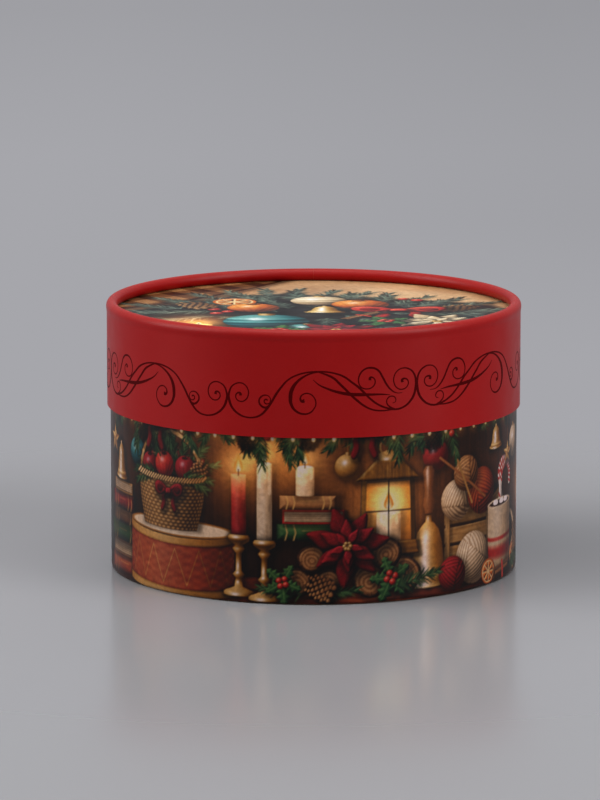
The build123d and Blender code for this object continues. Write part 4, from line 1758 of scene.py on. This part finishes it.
def flat_panel(name, centre, width):
    """One panel of the base's print, flat, facing the front, with its curl under the foot."""
    deselect()
    height = PRINT_TOP - FOOT_BEND
    bpy.ops.mesh.primitive_grid_add(
        x_subdivisions=PRINT_COLUMNS,
        y_subdivisions=PRINT_ROWS,
        size=1,
        location=(centre, 0, FOOT_BEND + height / 2),
        rotation=(math.radians(90), 0, 0),
    )
    piece = name_piece(name)
    piece.scale = (width, height, 1)
    bpy.ops.object.transform_apply(location=True, rotation=True, scale=True)
    # Upwards, under the lid, the print goes on in wider rows
    top = PRINT_TOP - PAPER
    select_where(piece, lambda x, y, z: z > top)
    step = (BASE_RIM - PRINT_TOP) / HIDDEN_ROWS
    for _ in range(HIDDEN_ROWS):
        extrude_edges(0, 0, step)
    object_mode()
    # Downwards it curls in under the foot
    select_where(piece, lambda x, y, z: z < FOOT_BEND + PAPER / 10)
    curl = FOOT_BEND + PAPER
    angles = [math.radians(CURL_UNDER * share / CURL_STEPS) for share in range(CURL_STEPS + 1)]
    for turn, next_turn in zip(angles, angles[1:]):
        inwards = curl * (math.cos(turn) - math.cos(next_turn))
        down = curl * (math.sin(next_turn) - math.sin(turn))
        extrude_edges(0, inwards, -down)
    # The paper's thickness shows at its edges
    select_all_parts("DESELECT")
    bpy.ops.mesh.select_non_manifold(extend=False)
    extrude_edges(0, PAPER, 0)
    object_mode()
    face_outwards(piece)
    return piece


def make_base_print():
    whole = 2 * math.pi * BASE_RADIUS - SEAM_GAP
    width = whole / len(PANELS)
    painting = base_picture()
    material = printed_paper("base_print_paper", 0.17)
    for place, name in enumerate(PANELS):
        centre = (place + 0.5) * width - whole / 2
        piece = flat_panel(name, centre, width)
        print_on(piece, painting, up=2)
        flat_map(piece, up=2)
        roll_up(piece, BASE_RADIUS)
        finish_piece(piece, "base", material, ["base_printed_wrap"])


# Base: the board tube with its rolled foot


def foot_bend(centre, start):
    """Points of a quarter bend in the foot's half section, clockwise from a start angle."""
    angles = [math.radians(start - 90 * step / BEND_STEPS) for step in range(BEND_STEPS + 1)]
    return [
        (centre + FOOT_BEND * math.cos(angle), FOOT_BEND + FOOT_BEND * math.sin(angle))
        for angle in angles
    ]


def make_base_board():
    outer = BASE_BOARD_RADIUS - FOOT_BEND
    inner = outer - FOOT_FLAT
    section = [
        (BASE_BOARD_RADIUS, BASE_RIM),
        (BASE_BOARD_RADIUS, BASE_RIM / 2),
        *foot_bend(outer, 0),
        *foot_bend(inner, 270),
        (inner - FOOT_BEND, BASE_DISC_UNDERSIDE),
        (BASE_DISC_RADIUS, BASE_DISC_UNDERSIDE),
        (BASE_DISC_RADIUS, BASE_RIM),
    ]
    piece = spun("base_board", section, closed=True)
    return finish_piece(piece, "base", rolled_board(), ["base_board_tube"])


# Liners: plain papers inside the base and the lid


def make_liners():
    material = liner_paper()
    for name, node, body, radius, low, high in (
        ("base_liner_paper", "base_liner", "base", BASE_DISC_RADIUS, BASE_FLOOR, BASE_RIM),
        ("lid_liner_paper", "lid_liner", "lid", LID_LINER_RADIUS, LID_EDGE, LID_CEILING),
    ):
        section = [(radius, low + (high - low) * share) for share in (0, 0.5, 1)]
        rolled_paper(name, section, body, material, [node])


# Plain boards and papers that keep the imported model's shape


def finish_flat_sheets():
    finishes = {
        "base_disc": grey_board(),
        "lid_disc": grey_board(),
        "base_disc_inside_facing": liner_paper(),
        "lid_disc_inside_facing": liner_paper(),
    }
    for node, material in finishes.items():
        sheet = frame["nodes"][node]
        sheet.data.materials.clear()
        sheet.data.materials.append(material)


# The studio

FLOOR_RADIUS = 5.0
FLOOR_MIDDLE = (0.0, -0.1, 0.0)
LIT_OUT_TO = 0.27  # the floor shows the lamps' light out to here,
PLAIN_FROM = 0.42  # and from here outwards it has the plain tone of the studio beyond it
BACKDROP = "a6a6ab"
DISTANT_DIMMING = 0.095
# The floor's darker band is a painted shadow
SHADOW_BAND_HALF_WIDTH = 0.101  # of the darker band that lies across the floor
FLOOR_SIDES = 96
FLOOR_RING = 0.7 * FLOOR_RADIUS  # width of the floor's outer ring of faces


def seen_directly(finish):
    """1 for what is seen straight or in a reflection, and 0 for light cast on the box."""
    rays = add(finish, "LightPath").outputs
    seen = arithmetic(finish, "MAXIMUM", rays["Is Camera Ray"], rays["Is Glossy Ray"])
    return arithmetic(finish, "MAXIMUM", seen, rays["Is Transmission Ray"])


def stage_finish():
    """Pale grey paper with a sheen, and the plain backdrop that it passes into."""
    finish = new_finish("studio_paper", Specular_IOR_Level=0.5)
    place = place_on(finish)
    x, y, _ = add(finish, "SeparateXYZ", {0: place}).outputs
    paper = tint(finish, eased(finish, y, -0.34, -0.15, 0, 1), linear("88888b"), linear("8c8c8f"))
    # Painted shadow: a darker band lies across the floor by the box, deeper on the right
    middle = spread(finish, x, -0.1, 0.1, 0.1, 0.032)
    away = arithmetic(finish, "SUBTRACT", y, middle)
    away = arithmetic(finish, "DIVIDE", away, SHADOW_BAND_HALF_WIDTH)
    away = times(finish, away, away)
    band = arithmetic(finish, "EXPONENT", times(finish, away, -1.0))
    band = times(finish, band, spread(finish, x, -0.1, 0.085, 0.14, 0.37))
    paper = tint(finish, band, paper, BLACK)
    distance = add(finish, "VectorMath", {0: place}, operation="LENGTH").outputs["Value"]
    gloss = eased(finish, distance, 0.2, 0.36, 0.19, 0.5)
    surface(finish, Base_Color=paper, Roughness=gloss)
    # The backdrop dims with distance, and towards the right
    distance = {0: place, 1: FLOOR_MIDDLE}
    distance = add(finish, "VectorMath", distance, operation="DISTANCE").outputs["Value"]
    dimming = spread(finish, distance, 1.3, 2.2, 0.0, DISTANT_DIMMING)
    backdrop = tint(finish, dimming, linear(BACKDROP), BLACK)
    side = spread(finish, x, -0.15, 0.15, 0.0, 0.078)
    side = times(finish, side, spread(finish, y, 0.45, 0.9, 0.0, 1.0))
    backdrop = tint(finish, side, backdrop, BLACK)
    plain = add(finish, "Emission", {"Color": backdrop}).outputs[0]
    share = eased(finish, distance, LIT_OUT_TO, PLAIN_FROM, 0.0, 1.0)
    share = times(finish, share, seen_directly(finish))
    lit = finish.node_tree.nodes["Principled BSDF"].outputs[0]
    mixed = add(finish, "MixShader", {0: share, 1: lit, 2: plain}).outputs[0]
    output = finish.node_tree.nodes["Material Output"].inputs["Surface"]
    finish.node_tree.links.new(mixed, output)
    return finish


def make_stage():
    deselect()
    bpy.ops.mesh.primitive_circle_add(
        vertices=FLOOR_SIDES, radius=FLOOR_RADIUS, fill_type="NGON", location=(0, 0, 0)
    )
    stage = name_piece("studio_floor")
    edit_mode()
    select_all_parts()
    bpy.ops.mesh.inset(thickness=FLOOR_RING)
    bpy.ops.mesh.poke()
    object_mode()
    stage.data.materials.append(stage_finish())


VIEWED_POINT = np.array((0.0, 0.0, 52.5 * MM))
CAMERA_DISTANCE = 1878.3 * MM
CAMERA_ELEVATION = math.radians(10.121)
LENS = 232.25
SENSOR_HEIGHT = 36
AIM_LEFT = 4.96 * MM  # the photograph has the box a little right of its middle
AIM_ABOVE = 7.87 * MM  # and below it


def look_from(item, place, target):
    item.location = place
    towards = Vector(target) - Vector(place)
    item.rotation_euler = towards.to_track_quat("-Z", "Y").to_euler()


def make_camera():
    across, up = math.cos(CAMERA_ELEVATION), math.sin(CAMERA_ELEVATION)
    place = VIEWED_POINT + CAMERA_DISTANCE * np.array((0, -across, up))
    target = VIEWED_POINT + np.array((-AIM_LEFT, AIM_ABOVE * up, AIM_ABOVE * across))
    bpy.ops.object.camera_add()
    camera = bpy.context.object
    camera.name = "photograph_view"
    camera.data.lens = LENS
    camera.data.sensor_fit = "VERTICAL"
    camera.data.sensor_height = SENSOR_HEIGHT
    look_from(camera, place, target)
    bpy.context.scene.camera = camera


SOFTBOXES = {
    # name: (place, width, height, power in watts)
    "softbox_above": ((0.0, -0.22, 1.3), 1.3, 1.1, 13.5),
    "softbox_left": ((-1.35, -0.22, 0.75), 0.9, 1.3, 18.7),
    "softbox_right": ((1.35, -0.74, 0.75), 0.9, 1.3, 19.5),
    "softbox_front": ((-0.28, -2.1, 1.05), 1.2, 1.0, 4.5),
    "softbox_back": ((0.25, 1.55, 1.15), 1.3, 1.0, 10),
}
FILL_LIGHTS = ("softbox_back",)  # these leave no highlight
ROOM_LIGHT = 0.216


def make_lights():
    """Lamps for the box, each with a twin for what lies flat and mirrors no lamp."""
    flat = [bpy.data.objects[name] for name in ("studio_floor", "lid_picture")]
    meshes = [item for item in bpy.context.scene.objects if item.type == "MESH"]
    pieces = [item for item in meshes if item not in flat]
    for lit, members in (("box", pieces), ("flat", flat)):
        group = bpy.data.collections.new("lit_" + lit)
        for member in members:
            group.objects.link(member)
        for name, (place, width, height, power) in SOFTBOXES.items():
            bpy.ops.object.light_add(type="AREA")
            lamp = bpy.context.object
            lamp.name = f"{name}_for_{lit}"
            lamp.data.shape = "RECTANGLE"
            lamp.data.size = width
            lamp.data.size_y = height
            lamp.data.energy = power
            lamp.visible_camera = False
            lamp.visible_glossy = lit == "box" and name not in FILL_LIGHTS
            lamp.light_linking.receiver_collection = group
            look_from(lamp, place, VIEWED_POINT)
    room = bpy.data.worlds.new("studio_room")
    room.use_nodes = True
    light = (ROOM_LIGHT, ROOM_LIGHT, ROOM_LIGHT, 1)
    backdrop = tint(room, DISTANT_DIMMING, linear(BACKDROP), BLACK)
    shown = tint(room, seen_directly(room), light, backdrop)
    room.node_tree.links.new(shown, room.node_tree.nodes["Background"].inputs["Color"])
    bpy.context.scene.world = room
    bpy.context.scene.view_settings.view_transform = "Standard"


make_lid_wrap()
make_lid_board()
make_scroll_print()
make_lid_picture()
make_base_print()
make_base_board()
make_liners()
finish_flat_sheets()
make_stage()
make_camera()
make_lights()
